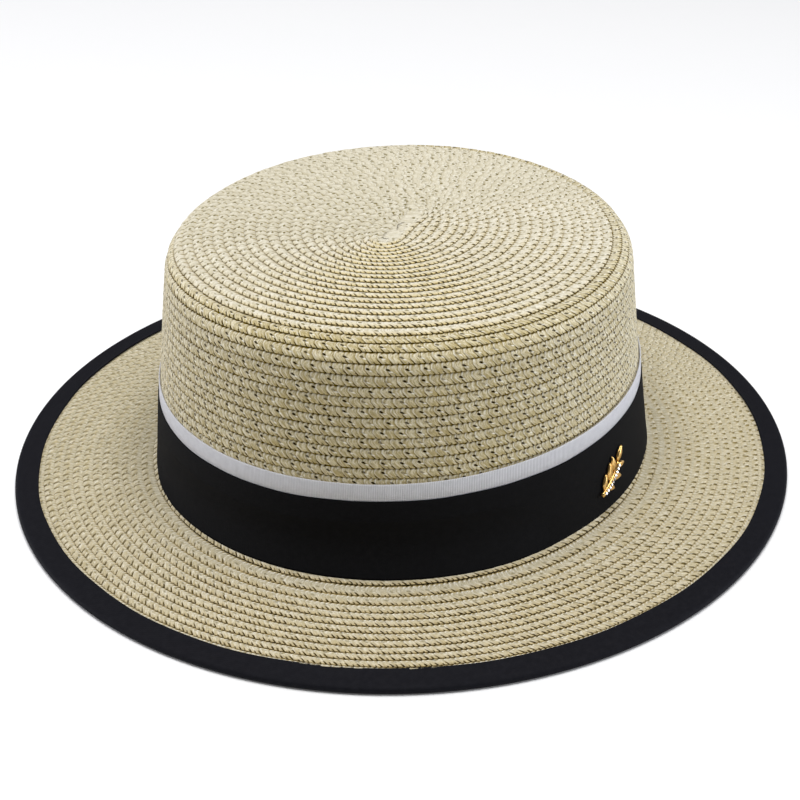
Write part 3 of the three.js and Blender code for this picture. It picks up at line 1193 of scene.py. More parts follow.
class Spiral:
    """The line of the plait's free edge, wound clockwise from the middle of the top to the brim's edge.

    Attributes:
        STEPS: Points worked out on each turn.
        WIDTH: Width of the plait.
        PLY: Thickness of the plait, pressed flat.
        PITCH: How much of a row shows where its upper half is neither stretched nor squeezed.
        MIDDLE: Distance from the free edge to the middle of the plait, where the strands turn.
        UPPER: Distance from the free edge up to which a row's upper half can show.
        WALL: Thickness of the sewn straw.
        CELL: Width of a strand along the plait.
        PALE_SIDE: Angle round the hat where the rows' painted lines give way most.
        PALEST: How far they give way there.
        PALE_SOFTNESS: How softly that sets in.
        EASED_SIDE: Angle round the hat where the rows' painted lines ease off most.
        EASED_POWER: How narrow that part is.
        STRAIGHT: Half the length, along Y, of the line in the hat's middle that these angles go round.
        BEGIN: Angle where the first turn begins.
        FIRST_TURN: The turn where the rows come out from under the straight start.
        FLAT_TURN: The turn from which rows lie tilted over the ones before.
        LAST_TURN: More turns than the hat has.
        EDGE_GAP: How far short of the brim's edge the line stays.
        PITCHES: Least and most of a row that shows.
        LEAN_TURNS: The turns between which the strands' slant changes.
        LOWER_LEANS: Slant of the strands' lower half at these turns.
        UPPER_LEANS: Slant of the strands' upper half at these turns.
        TURNS: How the turns lie.
    """

    STEPS = 96
    WIDTH = 6.3 * MM
    PLY = 0.42 * MM
    PITCH = 3.65 * MM
    MIDDLE = 2.1 * MM
    UPPER = 4 * MM
    WALL = 1.15 * MM
    CELL = 3.55 * MM
    PALE_SIDE = math.radians(131)
    PALEST = 0.9
    PALE_SOFTNESS = 0.34
    EASED_SIDE = math.radians(-150)
    EASED_POWER = 1.5
    STRAIGHT = 10 * MM
    BEGIN = math.radians(-60)
    FIRST_TURN = 1.60
    FLAT_TURN = 2.08
    LAST_TURN = 64.0
    EDGE_GAP = 2.3 * MM
    PITCHES = (2.6 * MM, 5.6 * MM)
    LEAN_TURNS = (17, 23)
    LOWER_LEANS = (0.62, 0.80)
    UPPER_LEANS = (0.30, 0.16)
    TURNS = (
        TurnShape(0, 1.02, 0.35, 0.23, -2.85, -0.70),
        TurnShape(1, 4.60, 0.30, 0.12, -3.00, -0.62),
        TurnShape(2, 7.60, 0.25, -0.20, -2.60, -0.53),
        TurnShape(3, 10.50, 0.20, -0.60, -1.60, -0.41),
        TurnShape(4, 13.54, 0.12, -1.00, -0.79, -0.23),
        TurnShape(6, 19.95, -0.18, -1.09, 0.14, 0.22),
        TurnShape(8, 26.59, -0.74, -0.77, 0.85, 0.55),
        TurnShape(11, 37.84, -1.90, 0.21, 1.72, 0.71),
        TurnShape(14, 49.47, -2.62, 1.09, 2.21, 0.93),
        TurnShape(17, 60.53, -2.97, 1.57, 2.29, 1.15),
        TurnShape(20, 71.53, -3.24, 1.79, 2.09, 0.95),
        TurnShape(23, 82.81, -3.32, 1.51, 1.99, 0.41),
        TurnShape(26, 93.98, -3.28, 0.96, 1.82, 0.01),
        TurnShape(30, 107.67, -2.82, 0.37, 1.66, -0.10),
        TurnShape(35, 124.57, -1.44, -0.23, 1.27, -0.09),
        TurnShape(41, 144.41, 0.77, -0.90, 0.46, -0.17),
        TurnShape(46, 161.14, 1.29, -2.09, -0.21, -0.32),
        TurnShape(47, 166.07, 1.71, -2.17, -0.32, -0.36),
        TurnShape(48, 170.27, 1.96, -2.20, -0.37, -0.35),
        TurnShape(49, 173.90, 2.19, -2.25, -0.39, -0.32),
        TurnShape(52, 184.30, 2.23, -2.00, -0.12, 0.10),
        TurnShape(55, 194.84, 1.89, -1.54, 0.28, 0.63),
        TurnShape(58, 205.02, 1.37, -0.99, 0.58, 0.94),
        TurnShape(62, 218.61, 0.33, -0.39, 0.82, 1.14),
        TurnShape(66, 232.00, 0.00, 0.00, 0.82, 1.14),
    )

    def __init__(self, form: HatForm) -> None:
        """Winds the line and measures its length.

        Args:
            form: The hat's form.
        """
        self.form = form
        self.meridian = Meridian(form)
        self._turn = np.arange(0, self.LAST_TURN, 1 / self.STEPS)
        self._edge = self.edge_at(self._turn)
        middle = np.clip(self._edge - 2 * MM, 0, None)
        points = self.place(middle, self.angle_at(self._turn), np.full_like(middle, self.WALL))
        steps = np.linalg.norm(np.diff(points, axis=0), axis=1)
        self._run = np.concatenate([[0], np.cumsum(steps)])

    def edge_at(self, turn: np.ndarray) -> np.ndarray:
        """The free edge's distance from the middle of the top after a number of turns."""
        numbers, *parts = np.array([astuple(shape) for shape in self.TURNS]).T
        mean, right, back, across, slanting = (np.interp(turn, numbers, part) * MM for part in parts)
        angle = self.angle_at(turn)
        shape = mean + right * np.cos(angle) + back * np.sin(angle)
        shape = shape + across * np.cos(2 * angle) + slanting * np.sin(2 * angle)
        return np.minimum(shape, self.meridian.length - self.EDGE_GAP)

    def pitch_at(self, turn: np.ndarray) -> np.ndarray:
        """How much of a row shows, from the free edge of the turn before to its own."""
        before = self.edge_at(np.clip(turn - 1, 0, None))
        return np.clip(self.edge_at(turn) - before, *self.PITCHES)

    def angle_at(self, turn: np.ndarray) -> np.ndarray:
        """Angle round the hat after a number of turns."""
        return self.BEGIN - 2 * math.pi * turn

    def place(self, distance: np.ndarray, angle: np.ndarray, lift: np.ndarray) -> np.ndarray:
        """Puts points a distance from the middle of the top and a lift above the wall's inside.

        Args:
            distance: Distance along the hat's section; past the middle it is negative.
            angle: Angle round the hat.
            lift: Height above the inside of the wall.

        Returns:
            The points, one row each.
        """
        radius, level = self.meridian.at(np.abs(distance), lift - self.WALL)
        return self.form.place(np.sign(distance) * radius, angle, level)

    def place_flat(self, flat: np.ndarray, lift: np.ndarray) -> np.ndarray:
        """Puts points near the middle of the top at a lift above the wall's inside.

        Args:
            flat: The points' X and Y.
            lift: Height above the inside of the wall.

        Returns:
            The points, one row each.
        """
        form = self.form
        _, top = self.meridian.at(np.zeros(1), 0.0)
        level = top[0] + lift - self.WALL
        fall = form.top_fall * (flat[:, 0] - form.shift[0]) * (level - form.foot) / form.crown_height
        return np.stack([flat[:, 0], flat[:, 1], level + fall], axis=-1)

    def cell_at(self, turn: float) -> int:
        """The number of strands wound after a number of turns."""
        return round(float(np.interp(turn, self._turn, self._run)) / self.CELL)

    def lean_at(self, turn: np.ndarray, inward: np.ndarray) -> np.ndarray:
        """How far a strand has leaned along the plait at a distance in from the free edge."""
        lower = np.interp(turn, self.LEAN_TURNS, self.LOWER_LEANS)
        upper = np.interp(turn, self.LEAN_TURNS, self.UPPER_LEANS)
        beyond = np.clip(np.minimum(inward, self.UPPER) - self.MIDDLE, 0, None)
        return lower * np.minimum(inward, self.MIDDLE) - upper * beyond

    def shown_at(self, points: np.ndarray) -> tuple[np.ndarray, np.ndarray, np.ndarray]:
        """Finds how rows show round the hat.

        Args:
            points: Points on the hat.

        Returns:
            How far the rows' painted lines give way there, how far they ease off, and how far the rows are
            edge on.
        """
        across, ahead = points[:, 0] - self.form.shift[0], points[:, 1] - self.form.shift[1]
        facing = np.arctan2(ahead - np.clip(ahead, -self.STRAIGHT, self.STRAIGHT), across)
        pale = np.clip((np.cos(facing - self.PALE_SIDE) + 0.02) / self.PALE_SOFTNESS, 0, 1)
        pale = self.PALEST * pale**2 * (3 - 2 * pale)
        eased = np.clip(np.cos(facing - self.EASED_SIDE), 0, 1) ** self.EASED_POWER
        side = np.clip(1.25 * np.sin(facing - self.BEGIN) ** 2 - 0.25, 0, 1)
        return pale, eased, side

    def wind(self, run: np.ndarray) -> tuple[np.ndarray, np.ndarray]:
        """Finds where the line is after a length.

        Args:
            run: Length wound.

        Returns:
            The turns and the free edge's distance from the middle of the top.
        """
        turn = np.interp(run, self._run, self._turn)
        return turn, self.edge_at(turn)


@dataclass(frozen=True)
class Stretch:
    """A stretch of the spiral that becomes one piece.

    Attributes:
        name: The piece's name.
        begin: The turn where it begins.
        end: The turn where it ends.
        finish: Its straw's finish.
        node: The frame's node that it stands for.
        scallop: How deep the scallops and the relief between its strands are.
        detail: How finely it is made.
    """

    name: str
    begin: float
    end: float
    finish: StrawFinish
    node: str
    scallop: float
    detail: Detail = Detail.SHOWN


def fields_at(items: Sequence[SectionPoint | StrandPhase], index: np.ndarray) -> np.ndarray:
    """The items' fields at these indices, one row of values for each field."""
    return np.array([astuple(item) for item in items])[index].T


def closed_strip(name: str, columns: int, section: Sequence[SectionPoint],
                 lay: Callable[..., tuple[np.ndarray, dict[str, np.ndarray]]]) -> bpy.types.Mesh:
    """Makes a strip of plait that is closed round its cross-section and at its ends.

    Args:
        name: The mesh's name.
        columns: Steps along the strip.
        section: The plait's cross-section.
        lay: Takes each point's share of the strip's length and its place in the section, and gives the
            points and their coordinates for each UV map.

    Returns:
        The mesh.
    """
    strip = bmesh.new()
    bmesh.ops.create_grid(strip, x_segments=columns, y_segments=len(section), size=0.5)
    mesh = bpy.data.meshes.new(name)
    strip.to_mesh(mesh)
    grid = coordinates(mesh) + 0.5
    row = np.rint(grid[:, 1] * len(section)).astype(int) % len(section)
    points, patterns = lay(grid[:, 0], row)
    mesh.vertices.foreach_set("co", points.ravel())
    corner = corner_vertices(mesh)
    for key, pattern in patterns.items():
        layer = mesh.uv_layers.new(name=key)
        layer.data.foreach_set("uv", pattern[corner].ravel())
    strip.clear()
    strip.from_mesh(mesh)
    bmesh.ops.remove_doubles(strip, verts=strip.verts, dist=STRIP_MERGE_DISTANCE)
    bmesh.ops.holes_fill(strip, edges=[edge for edge in strip.edges if edge.is_boundary])
    bmesh.ops.recalc_face_normals(strip, faces=strip.faces)
    strip.to_mesh(mesh)
    strip.free()
    return mesh


@dataclass
class StrawRows:
    """A stretch of the spiral plait, made as one closed strip whose turns lie over one another.

    Attributes:
        WAVES: Waves round the hat in which the free edge strays, and how they drift with each turn.
        BOUND_WIDTH: How far in from the brim's edge the rows are pressed flat under the binding.
        BOUND_SOFTNESS: Over which distance that begins.
        BOUND_PRESS: How much flatter they are there.
        STEEPEST: Rows of which less than this shows tilt no further.
        spiral: The line of the free edge.
        stretch: The stretch to make.
        uneven: How uneven the strands are.
        stray: How far the free edge strays.
        seed: Seed of the unevenness.
        first: The first strand.
        last: The strand after the last one.
        columns: Steps along the strip.
        section: The plait's cross-section.
    """

    WAVES: ClassVar[tuple[tuple[int, float], ...]] = ((3, 1.7), (7, -2.3), (17, 0.9))
    BOUND_WIDTH: ClassVar[float] = 10.5 * MM
    BOUND_SOFTNESS: ClassVar[float] = 1.5 * MM
    BOUND_PRESS: ClassVar[float] = 0.42
    STEEPEST: ClassVar[float] = 3.5 * MM

    spiral: Spiral
    stretch: Stretch
    uneven: float = 0.06 * MM
    stray: float = 0.10 * MM
    seed: int = 5
    first: int = field(init=False)
    last: int = field(init=False)
    columns: int = field(init=False)
    section: Sequence[SectionPoint] = field(init=False)

    def __post_init__(self) -> None:
        """Works out which strands the stretch has, and how finely it is made."""
        self.first = self.spiral.cell_at(self.stretch.begin)
        self.last = self.spiral.cell_at(self.stretch.end)
        self.columns = len(PHASES) * (self.last - self.first)
        self.section = FULL_SECTION if self.stretch.detail is Detail.SHOWN else COVERED_SECTION

    def build(self, material: bpy.types.Material) -> bpy.types.Object:
        """Makes the strip.

        Args:
            material: The straw's material.

        Returns:
            The piece.
        """
        name = self.stretch.name
        mesh = closed_strip(name, self.columns, self.section, self._lay)
        return finish_piece(name, mesh, material, [self.stretch.node])

    def _lay(self, share: np.ndarray, row: np.ndarray) -> tuple[np.ndarray, dict[str, np.ndarray]]:
        """Puts each point of the strip on the hat.

        Args:
            share: Each point's share of the strip's length.
            row: Each point's place round the section.

        Returns:
            The points, and their coordinates for the plait's pattern and for what shows of the row.
        """
        spiral = self.spiral
        column = np.rint(share * self.columns).astype(int)
        inward, lift, relief, notch, wall = fields_at(self.section, row)
        share, height, draw = fields_at(PHASES, column % len(PHASES))
        cell = self.first + column // len(PHASES)
        middle = spiral.MIDDLE
        run = (cell + share) * spiral.CELL + spiral.lean_at(spiral.wind(cell * spiral.CELL)[0], inward)
        turn, edge = spiral.wind(run)
        pitch = spiral.pitch_at(turn)
        angle = spiral.angle_at(turn)
        stretch = (pitch - middle) / (spiral.PITCH - middle)
        upper = (relief >= 0) & (inward > middle) & (inward < spiral.UPPER)
        inward = np.where(upper, middle + (inward - middle) * stretch, inward)
        chance = np.random.default_rng(self.seed).normal(size=(self.last + 2, 2))
        strand = np.clip(chance[cell], -2, 2)
        wave = sum(np.sin(waves * angle + drift * turn) for waves, drift in self.WAVES)
        scallop = self.stretch.scallop
        relief, notch = relief * (0.45 + 0.55 * scallop), notch * scallop
        pulled = inward + notch * draw + self.stray * wave / len(self.WAVES)
        pulled = pulled + notch * strand[:, 1] * self.uneven
        tucked = np.clip((turn - spiral.FLAT_TURN) / 0.12, 0, 1)
        tilt = spiral.PLY * (spiral.WIDTH - inward * tucked) / np.clip(pitch, self.STEEPEST, None)
        rise = tilt + lift + relief * height + np.clip(relief, 0, 1) * strand[:, 0] * self.uneven
        distance = edge - pulled
        bound = np.clip((distance - spiral.meridian.length + self.BOUND_WIDTH) / self.BOUND_SOFTNESS, 0, 1)
        points = spiral.place(distance, angle, rise * (1 - self.BOUND_PRESS * bound))
        pale, eased, side = spiral.shown_at(points)
        under = (relief < 0).astype(float)
        across = np.where(relief < 0, (inward - spiral.WIDTH) / pitch + 1, 1 - inward / pitch)
        patterns = {
            "plait": np.stack([cell + share, inward / spiral.CELL], axis=1),
            "row": np.stack([across, wall], axis=1),
            "face": np.stack([under, pale], axis=1),
            "turn": np.stack([side, eased], axis=1),
        }
        return points, patterns


@dataclass
class CoilStart:
    """The plait's first straight run at the middle of the top, its free edge towards +X.

    Attributes:
        spiral: The line that the plait goes on along.
        begin: Where the run begins.
        end: Where it ends.
        width: Its width.
        lift: Its height above the inside of the wall.
        bow: How far it bows out in the middle.
        rounding: Length of its rounded ends.
        crease_depth: Depth of the creases between its strands.
        edge_fall: How much lower its inner side lies than its free edge.
        slant: Slant of its strands.
        steps: Steps along it.
    """

    spiral: Spiral
    begin: tuple[float, float] = (4.9 * MM, -13.6 * MM)
    end: tuple[float, float] = (0.6 * MM, 16.6 * MM)
    width: float = 8.4 * MM
    lift: float = 0.68 * MM
    bow: float = 0.35 * MM
    rounding: float = 3.2 * MM
    crease_depth: float = 0.12 * MM
    edge_fall: float = 0.35 * MM
    slant: float = 0.35
    steps: int = 72

    def build(self, material: bpy.types.Material) -> bpy.types.Object:
        """Makes the run as a closed strip with rounded ends.

        Args:
            material: The straw's material.

        Returns:
            The piece.
        """
        mesh = closed_strip("coil_start", self.steps, FULL_SECTION, self._lay)
        return finish_piece("coil_start", mesh, material, ["crown"])

    def _lay(self, share: np.ndarray, row: np.ndarray) -> tuple[np.ndarray, dict[str, np.ndarray]]:
        """Puts each point of the run on the top.

        Args:
            share: Each point's share of the run's length.
            row: Each point's place round the section.

        Returns:
            The points, and their coordinates for the plait's pattern and for what shows of the row.
        """
        inward, lift, relief, _, wall = fields_at(FULL_SECTION, row)
        begin, end = np.array(self.begin), np.array(self.end)
        length = float(np.linalg.norm(end - begin))
        ahead = (end - begin) / length
        aside = np.array([-ahead[1], ahead[0]])
        run = share * length
        nearest = np.minimum(run, length - run) / self.rounding
        narrow = np.sqrt(np.clip(1 - (1 - np.clip(nearest, 0, 1)) ** 2, 0, 1))
        middle = 0.5 * self.width
        spread = inward / self.spiral.WIDTH * self.width
        spread = middle + (spread - middle) * np.clip(narrow, 0.02, 1) - self.bow * np.sin(math.pi * share)
        leaned = self.slant * np.minimum(inward, self.spiral.MIDDLE)
        phase = run / self.spiral.CELL + leaned / self.spiral.CELL
        crease = np.abs(phase % 1 - 0.5) * 2
        height = self.lift + lift * narrow - self.crease_depth * crease**6 * np.clip(relief, 0, 1)
        height -= self.edge_fall * (inward / self.spiral.WIDTH) ** 2
        flat = begin + ahead * run[:, None] + aside * spread[:, None]
        across = np.clip(0.5 + 0.1 * (3 * MM - inward) / MM, 0.3, 0.6)
        patterns = {
            "plait": np.stack([phase, inward / self.spiral.CELL], axis=1),
            "row": np.stack([across, wall * (inward < 1 * MM)], axis=1),
            "face": np.stack([(relief < 0).astype(float), np.full(len(row), 0.6)], axis=1),
            "turn": np.tile((0.3, 0.0), (len(row), 1)),
        }
        return self.spiral.place_flat(flat, height), patterns


# ------------------------------
# Band, ribbon and binding
# ------------------------------


@dataclass
class HatBand:
    """The knitted band round the crown's foot, whose lower edge flares onto the brim."""

    form: HatForm
    height: float = 27.7 * MM
    inside: float = 0.55 * MM
    outside: float = 0.9 * MM
    flare: float = 0.1 * MM
    flare_height: float = 2.2 * MM
    spread: float = 1.4 * MM
    spread_towards: tuple[float, float] = (math.radians(280), math.radians(235))
    steps: int = 288
    edge_stray: float = 0.16 * MM
    waves: Waves = ((5, 0.6, 1.0), (11, 2.1, 1.0), (23, 0.0, 0.7))

    def build(self, material: bpy.types.Material) -> bpy.types.Object:
        """Makes the band.

        Args:
            material: The band's cloth.

        Returns:
            The piece.
        """
        foot = self.form.foot
        top = foot + self.height
        inside, outside = self.inside, self.outside
        outline = [
            (inside, foot + 0.35 * MM),
            (outside + self.flare, foot + 0.15 * MM),
            (outside + 0.55 * self.flare, foot + 0.3 * self.flare_height),
            (outside + 0.15 * self.flare, foot + 0.75 * self.flare_height),
            (outside, foot + 1.6 * self.flare_height),
            (outside, foot + 0.5 * self.height),
            (outside, top - 1.2 * MM),
            (outside - 0.05 * MM, top - 0.3 * MM),
            (outside - 0.18 * MM, top),
            (inside, top),
        ]
        ring = spun_wall(outline, self.steps)
        girth = oval_girth(self.form.crown_radius, self.form.lengthen)
        mesh = wound_mesh(ring, self._place, girth)
        piece = finish_piece("band", mesh, material, ["hat_band"])
        return piece

    def _place(self, radius: np.ndarray, angle: np.ndarray, level: np.ndarray) -> np.ndarray:
        """Puts the band's points, with a slightly uneven upper edge."""
        upper = np.clip((level - self.form.foot - 0.8 * self.height) / (0.2 * self.height), 0, 1)
        lower = np.clip(1 - (level - self.form.foot) / self.flare_height, 0, 1)
        facing, favoured = (np.cos(angle - towards) for towards in self.spread_towards)
        part = np.clip((facing - 0.42) / 0.35, 0, 1)
        radius = radius + self.spread * lower**2 * part**2 * (3 - 2 * part) * (1 + 0.25 * favoured)
        level = level + self.edge_stray * upper * stray_at(angle, self.waves) / 2
        return self.form.place_on_side(radius - SPIN_RADIUS, angle, level)


@dataclass
class Ribbon:
    """The narrow grosgrain ribbon above the band, its lower edge tucked behind it."""

    form: HatForm
    bottom: float = 26.6 * MM
    top: float = 34.1 * MM
    inside: float = 0.03 * MM
    outside: float = 0.5 * MM
    steps: int = 288
    edge_stray: float = 0.10 * MM
    waves: Waves = ((4, 1.9, 1.0), (9, 0.4, 1.0), (19, 1.0, 0.6))

    def build(self, material: bpy.types.Material) -> bpy.types.Object:
        """Makes the ribbon.

        Args:
            material: The ribbon's cloth.

        Returns:
            The piece.
        """
        foot = self.form.foot
        bottom, top = foot + self.bottom, foot + self.top
        outline = [
            (self.inside, bottom),
            (self.outside, bottom),
            (self.outside, (bottom + top) / 2),
            (self.outside, top - 0.35 * MM),
            (self.outside - 0.12 * MM, top),
            (self.inside, top),
        ]
        ring = spun_wall(outline, self.steps)
        mesh = wound_mesh(ring, self._place, oval_girth(self.form.crown_radius, self.form.lengthen))
        return finish_piece("grosgrain_ribbon", mesh, material, ["ribbon"])

    def _place(self, radius: np.ndarray, angle: np.ndarray, level: np.ndarray) -> np.ndarray:
        """Puts the ribbon's points, with a slightly uneven upper edge."""
        upper = np.clip((level - self.form.foot - self.bottom) / (self.top - self.bottom), 0, 1)
        level = level + self.edge_stray * upper * stray_at(angle, self.waves) / 2
        return self.form.place_on_side(radius - SPIN_RADIUS, angle, level)


@dataclass
class Binding:
    """The tape folded round the brim's edge, on which the hat stands.

    Attributes:
        form: The hat's form.
        width: How much of the tape shows on the brim.
        thickness: Thickness of the tape.
        half: Half the thickness of the folded edge.
        shift: How far the tape lies to one side.
        brim_drop: How far below the foot's level the brim's middle is there.
        foot_gap: How far outside the crown the brim's slope begins.
        wear_and_shade_gaps: How much of the underside is pressed flat on the floor.
        edge_stray: How far the inner edge strays.
        oval_stray: How much wider it is on two sides than on the other two.
        waves: The waves in which it strays.
        steps: Steps round it.
        slope: The brim's slope.
    """

    form: HatForm
    width: float = 9.2 * MM
    thickness: float = 0.45 * MM
    half: float = 1.35 * MM
    shift: tuple[float, float] = (-0.5 * MM, 1.1 * MM)
    brim_drop: float = 0.9 * MM
    foot_gap: float = 2 * MM
    wear_and_shade_gaps: float = 0.04 * MM
    edge_stray: float = 0.15 * MM
    oval_stray: float = 0.35 * MM
    waves: Waves = ((3, 0.4, 1.0), (8, 1.2, 1.0), (21, 0.3, 0.8))
    steps: int = 360
    slope: float = field(init=False)

    def __post_init__(self) -> None:
        """Works out how far the brim slopes."""
        form = self.form
        drop = form.foot - self.brim_drop - self.half
        self.slope = math.atan2(drop, form.brim_radius - self.half - form.crown_radius - self.foot_gap)

    def _point(self, inwards: float, up: float) -> tuple[float, float]:
        """A point of the tape's section, inwards along the brim and up from its middle."""
        radius = self.form.brim_radius - self.half
        return (
            radius - inwards * math.cos(self.slope) + up * math.sin(self.slope),
            self.half + inwards * math.sin(self.slope) + up * math.cos(self.slope),
        )

    def _arc(self, radius: float, start: float, end: float, count: int) -> list[tuple[float, float]]:
        """Points of the fold round the brim's edge."""
        angles = np.linspace(start, end, count)
        return [self._point(-radius * math.cos(a), radius * math.sin(a)) for a in angles]

    def build(self, material: bpy.types.Material) -> bpy.types.Object:
        """Makes the tape.

        Args:
            material: The tape's cloth.

        Returns:
            The piece.
        """
        reach = self.width - self.half
        outer, inner = self.half, self.half - self.thickness
        flat = [reach * share for share in (1.0, 0.97, 0.66, 0.33)]
        outline = [self._point(inwards, -outer) for inwards in flat]
        outline += self._arc(outer, -math.pi / 2, math.pi / 2, 9)
        outline += [self._point(inwards, outer) for inwards in reversed(flat)]
        outline += [self._point(inwards, inner) for inwards in flat]
        outline += self._arc(inner, math.pi / 2, -math.pi / 2, 7)
        outline += [self._point(inwards, -inner) for inwards in reversed(flat)]
        lowest = min(level for _, level in outline)
        outline = [(radius, max(level - lowest - self.wear_and_shade_gaps, 0)) for radius, level in outline]
        ring = spun_ring(outline, self.steps)
        girth = oval_girth(self.form.brim_radius, self.form.lengthen)
        mesh = wound_mesh(ring, self._place, girth)
        piece = finish_piece("binding", mesh, material, ["brim_binding"])
        2 * self.width + 2 * self.half
        return piece

    def _place(self, radius: np.ndarray, angle: np.ndarray, level: np.ndarray) -> np.ndarray:
        """Puts the tape's points, its inner edge a little uneven."""
        inner = np.clip((self.form.brim_radius - radius) / self.width - 0.3, 0, 0.7) / 0.7
        stray = self.edge_stray * stray_at(angle, self.waves)
        stray = stray - self.oval_stray * np.cos(2 * (angle + math.pi / 3))
        points = self.form.place(radius + inner * stray, angle, level)
        return points + np.array([*self.shift, 0])


# ------------------------------
# Ornament
# ------------------------------


@dataclass(frozen=True)
class Leaf:
    """One leaf of the sprig: its place along the stem, its side and its length."""

    at: float
    side: int
    length: float


@dataclass
class Sprig:
    """The gold leaf sprig on the band, with a row of small clear stones along its stem."""

    form: HatForm
    angle: float = math.radians(-3.4)
    level: float = 14 * MM
    proud: float = 1.1 * MM
    stem_radius: float = 0.8 * MM
    leaf_width: float = 0.22
    leaf_turn: float = math.radians(56)
    leaf_base: float = 0.55 * MM
    leaf_pillow: float = 0.75 * MM
    leaf_midrib: float = 0.35 * MM
    stone_radius: float = 0.62 * MM
    stone_gap: float = 1.32 * MM
    stem: tuple[tuple[float, float], ...] = (
        (-9.2 * MM, -5.2 * MM), (-1.0 * MM, -3.4 * MM), (3.0 * MM, 2.4 * MM))
    leaves: tuple[Leaf, ...] = (
        Leaf(0.14, 1, 6.4 * MM),
        Leaf(0.30, -1, 6.0 * MM),
        Leaf(0.44, 1, 7.4 * MM),
        Leaf(0.58, -1, 7.0 * MM),
        Leaf(0.74, 1, 6.4 * MM),
        Leaf(0.86, -1, 6.2 * MM),
        Leaf(1.00, 0, 6.2 * MM),
    )

    def _stem_at(self, share: float) -> tuple[Vector, float]:
        """The stem's place and heading at a share of its length."""
        start, bend, end = (Vector((*point, 0)) for point in self.stem)
        place = start * (1 - share) ** 2 + bend * 2 * share * (1 - share) + end * share**2
        heading = (bend - start) * (1 - share) + (end - bend) * share
        return place, math.atan2(heading.y, heading.x)

    def _onto_band(self) -> Matrix:
        """The turn and move that put the sprig, made flat and facing +Z, onto the band."""
        level = self.form.foot + self.level
        proud = np.full(2, self.proud)
        angles = np.array([self.angle - 0.01, self.angle + 0.01])
        ends = self.form.place(self.form.side_radius(level) + proud, angles, np.full(2, level))
        place = Vector(ends.mean(axis=0))
        tangent = Vector(ends[1] - ends[0]).normalized()
        upwards = Vector((-self.form.taper * tangent.y, self.form.taper * tangent.x, 1)).normalized()
        outwards = tangent.cross(upwards)
        turn = Matrix((tangent, upwards, outwards)).transposed().to_4x4()
        return Matrix.Translation(place) @ turn

    def _add_leaf(self, sprig: bmesh.types.BMesh, leaf: Leaf) -> None:
        """Adds a pillowed leaf with a pressed midrib.

        Args:
            sprig: The mesh that it goes into.
            leaf: Its place, side and length.
        """
        made = bmesh.ops.create_grid(sprig, x_segments=10, y_segments=6, size=0.5)["verts"]
        half = leaf.length * self.leaf_width
        place, heading = self._stem_at(leaf.at)
        turn = heading + leaf.side * self.leaf_turn
        for vert in made:
            along = vert.co.x + 0.5
            aside = vert.co.y * 2
            reach = math.sin(math.pi * along**0.8) ** 0.8
            pillow, midrib = 1 - aside**2, math.exp(-(aside * 5) ** 2)
            height = self.leaf_base + self.leaf_pillow * pillow * reach - self.leaf_midrib * midrib * reach
            vert.co = Vector((along * leaf.length, aside * half * reach, height))
        wall = bmesh.ops.extrude_face_region(sprig, geom=sorted({f for v in made for f in v.link_faces},
                                                                key=lambda face: face.index))
        for vert in (item for item in wall["geom"] if isinstance(item, bmesh.types.BMVert)):
            vert.co.z = 0
        own = {v for v in made} | {item for item in wall["geom"] if isinstance(item, bmesh.types.BMVert)}
        onto_stem = Matrix.Translation(place) @ Matrix.Rotation(turn, 4, "Z")
        bmesh.ops.transform(sprig, verts=list(own), matrix=onto_stem)

    def build(self, gold: bpy.types.Material, stones: bpy.types.Material) -> list[bpy.types.Object]:
        """Makes the sprig and its stones.

        Args:
            gold: The metal.
            stones: The stones' material.

        Returns:
            The two pieces.
        """
        onto = self._onto_band()
        sprig = bmesh.new()
        for leaf in self.leaves:
            self._add_leaf(sprig, leaf)
        self._add_stem(sprig)
        bmesh.ops.remove_doubles(sprig, verts=sprig.verts, dist=0.01 * MM)
        bmesh.ops.recalc_face_normals(sprig, faces=sprig.faces)
        bmesh.ops.transform(sprig, verts=sprig.verts, matrix=onto)
        mesh = into_mesh("sprig", sprig)
        pieces = [finish_piece("leaf_sprig", mesh, gold, ["ornament"])]
        pieces.append(self._stone_row(onto, stones))
        return pieces

    def _add_stem(self, sprig: bmesh.types.BMesh) -> None:
        """Adds the round stem, closed at both ends."""
        steps = 18
        ring = bmesh.ops.create_circle(sprig, segments=10, radius=self.stem_radius, cap_ends=False)["verts"]
        place, heading = self._stem_at(0)
        stand = Matrix.Rotation(math.pi / 2, 4, "Y")
        bmesh.ops.transform(sprig, verts=ring, matrix=Matrix.Rotation(heading, 4, "Z") @ stand)
        bmesh.ops.translate(sprig, verts=ring, vec=place + Vector((0, 0, self.stem_radius)))
        edges = list({edge for vert in ring for edge in vert.link_edges})
        first = edges
        before, before_heading = place, heading
        for step in range(1, steps + 1):
            place, heading = self._stem_at(step / steps)
            made = bmesh.ops.extrude_edge_only(sprig, edges=edges)["geom"]
            verts = [item for item in made if isinstance(item, bmesh.types.BMVert)]
            edges = [item for item in made if isinstance(item, bmesh.types.BMEdge)]
            edges = [edge for edge in edges if all(vert in verts for vert in edge.verts)]
            back = Matrix.Translation(-before)
            turn = Matrix.Rotation(heading - before_heading, 4, "Z")
            bmesh.ops.transform(sprig, verts=verts, matrix=Matrix.Translation(place) @ turn @ back)
            before, before_heading = place, heading
        bmesh.ops.edgeloop_fill(sprig, edges=first)
        bmesh.ops.edgeloop_fill(sprig, edges=edges)

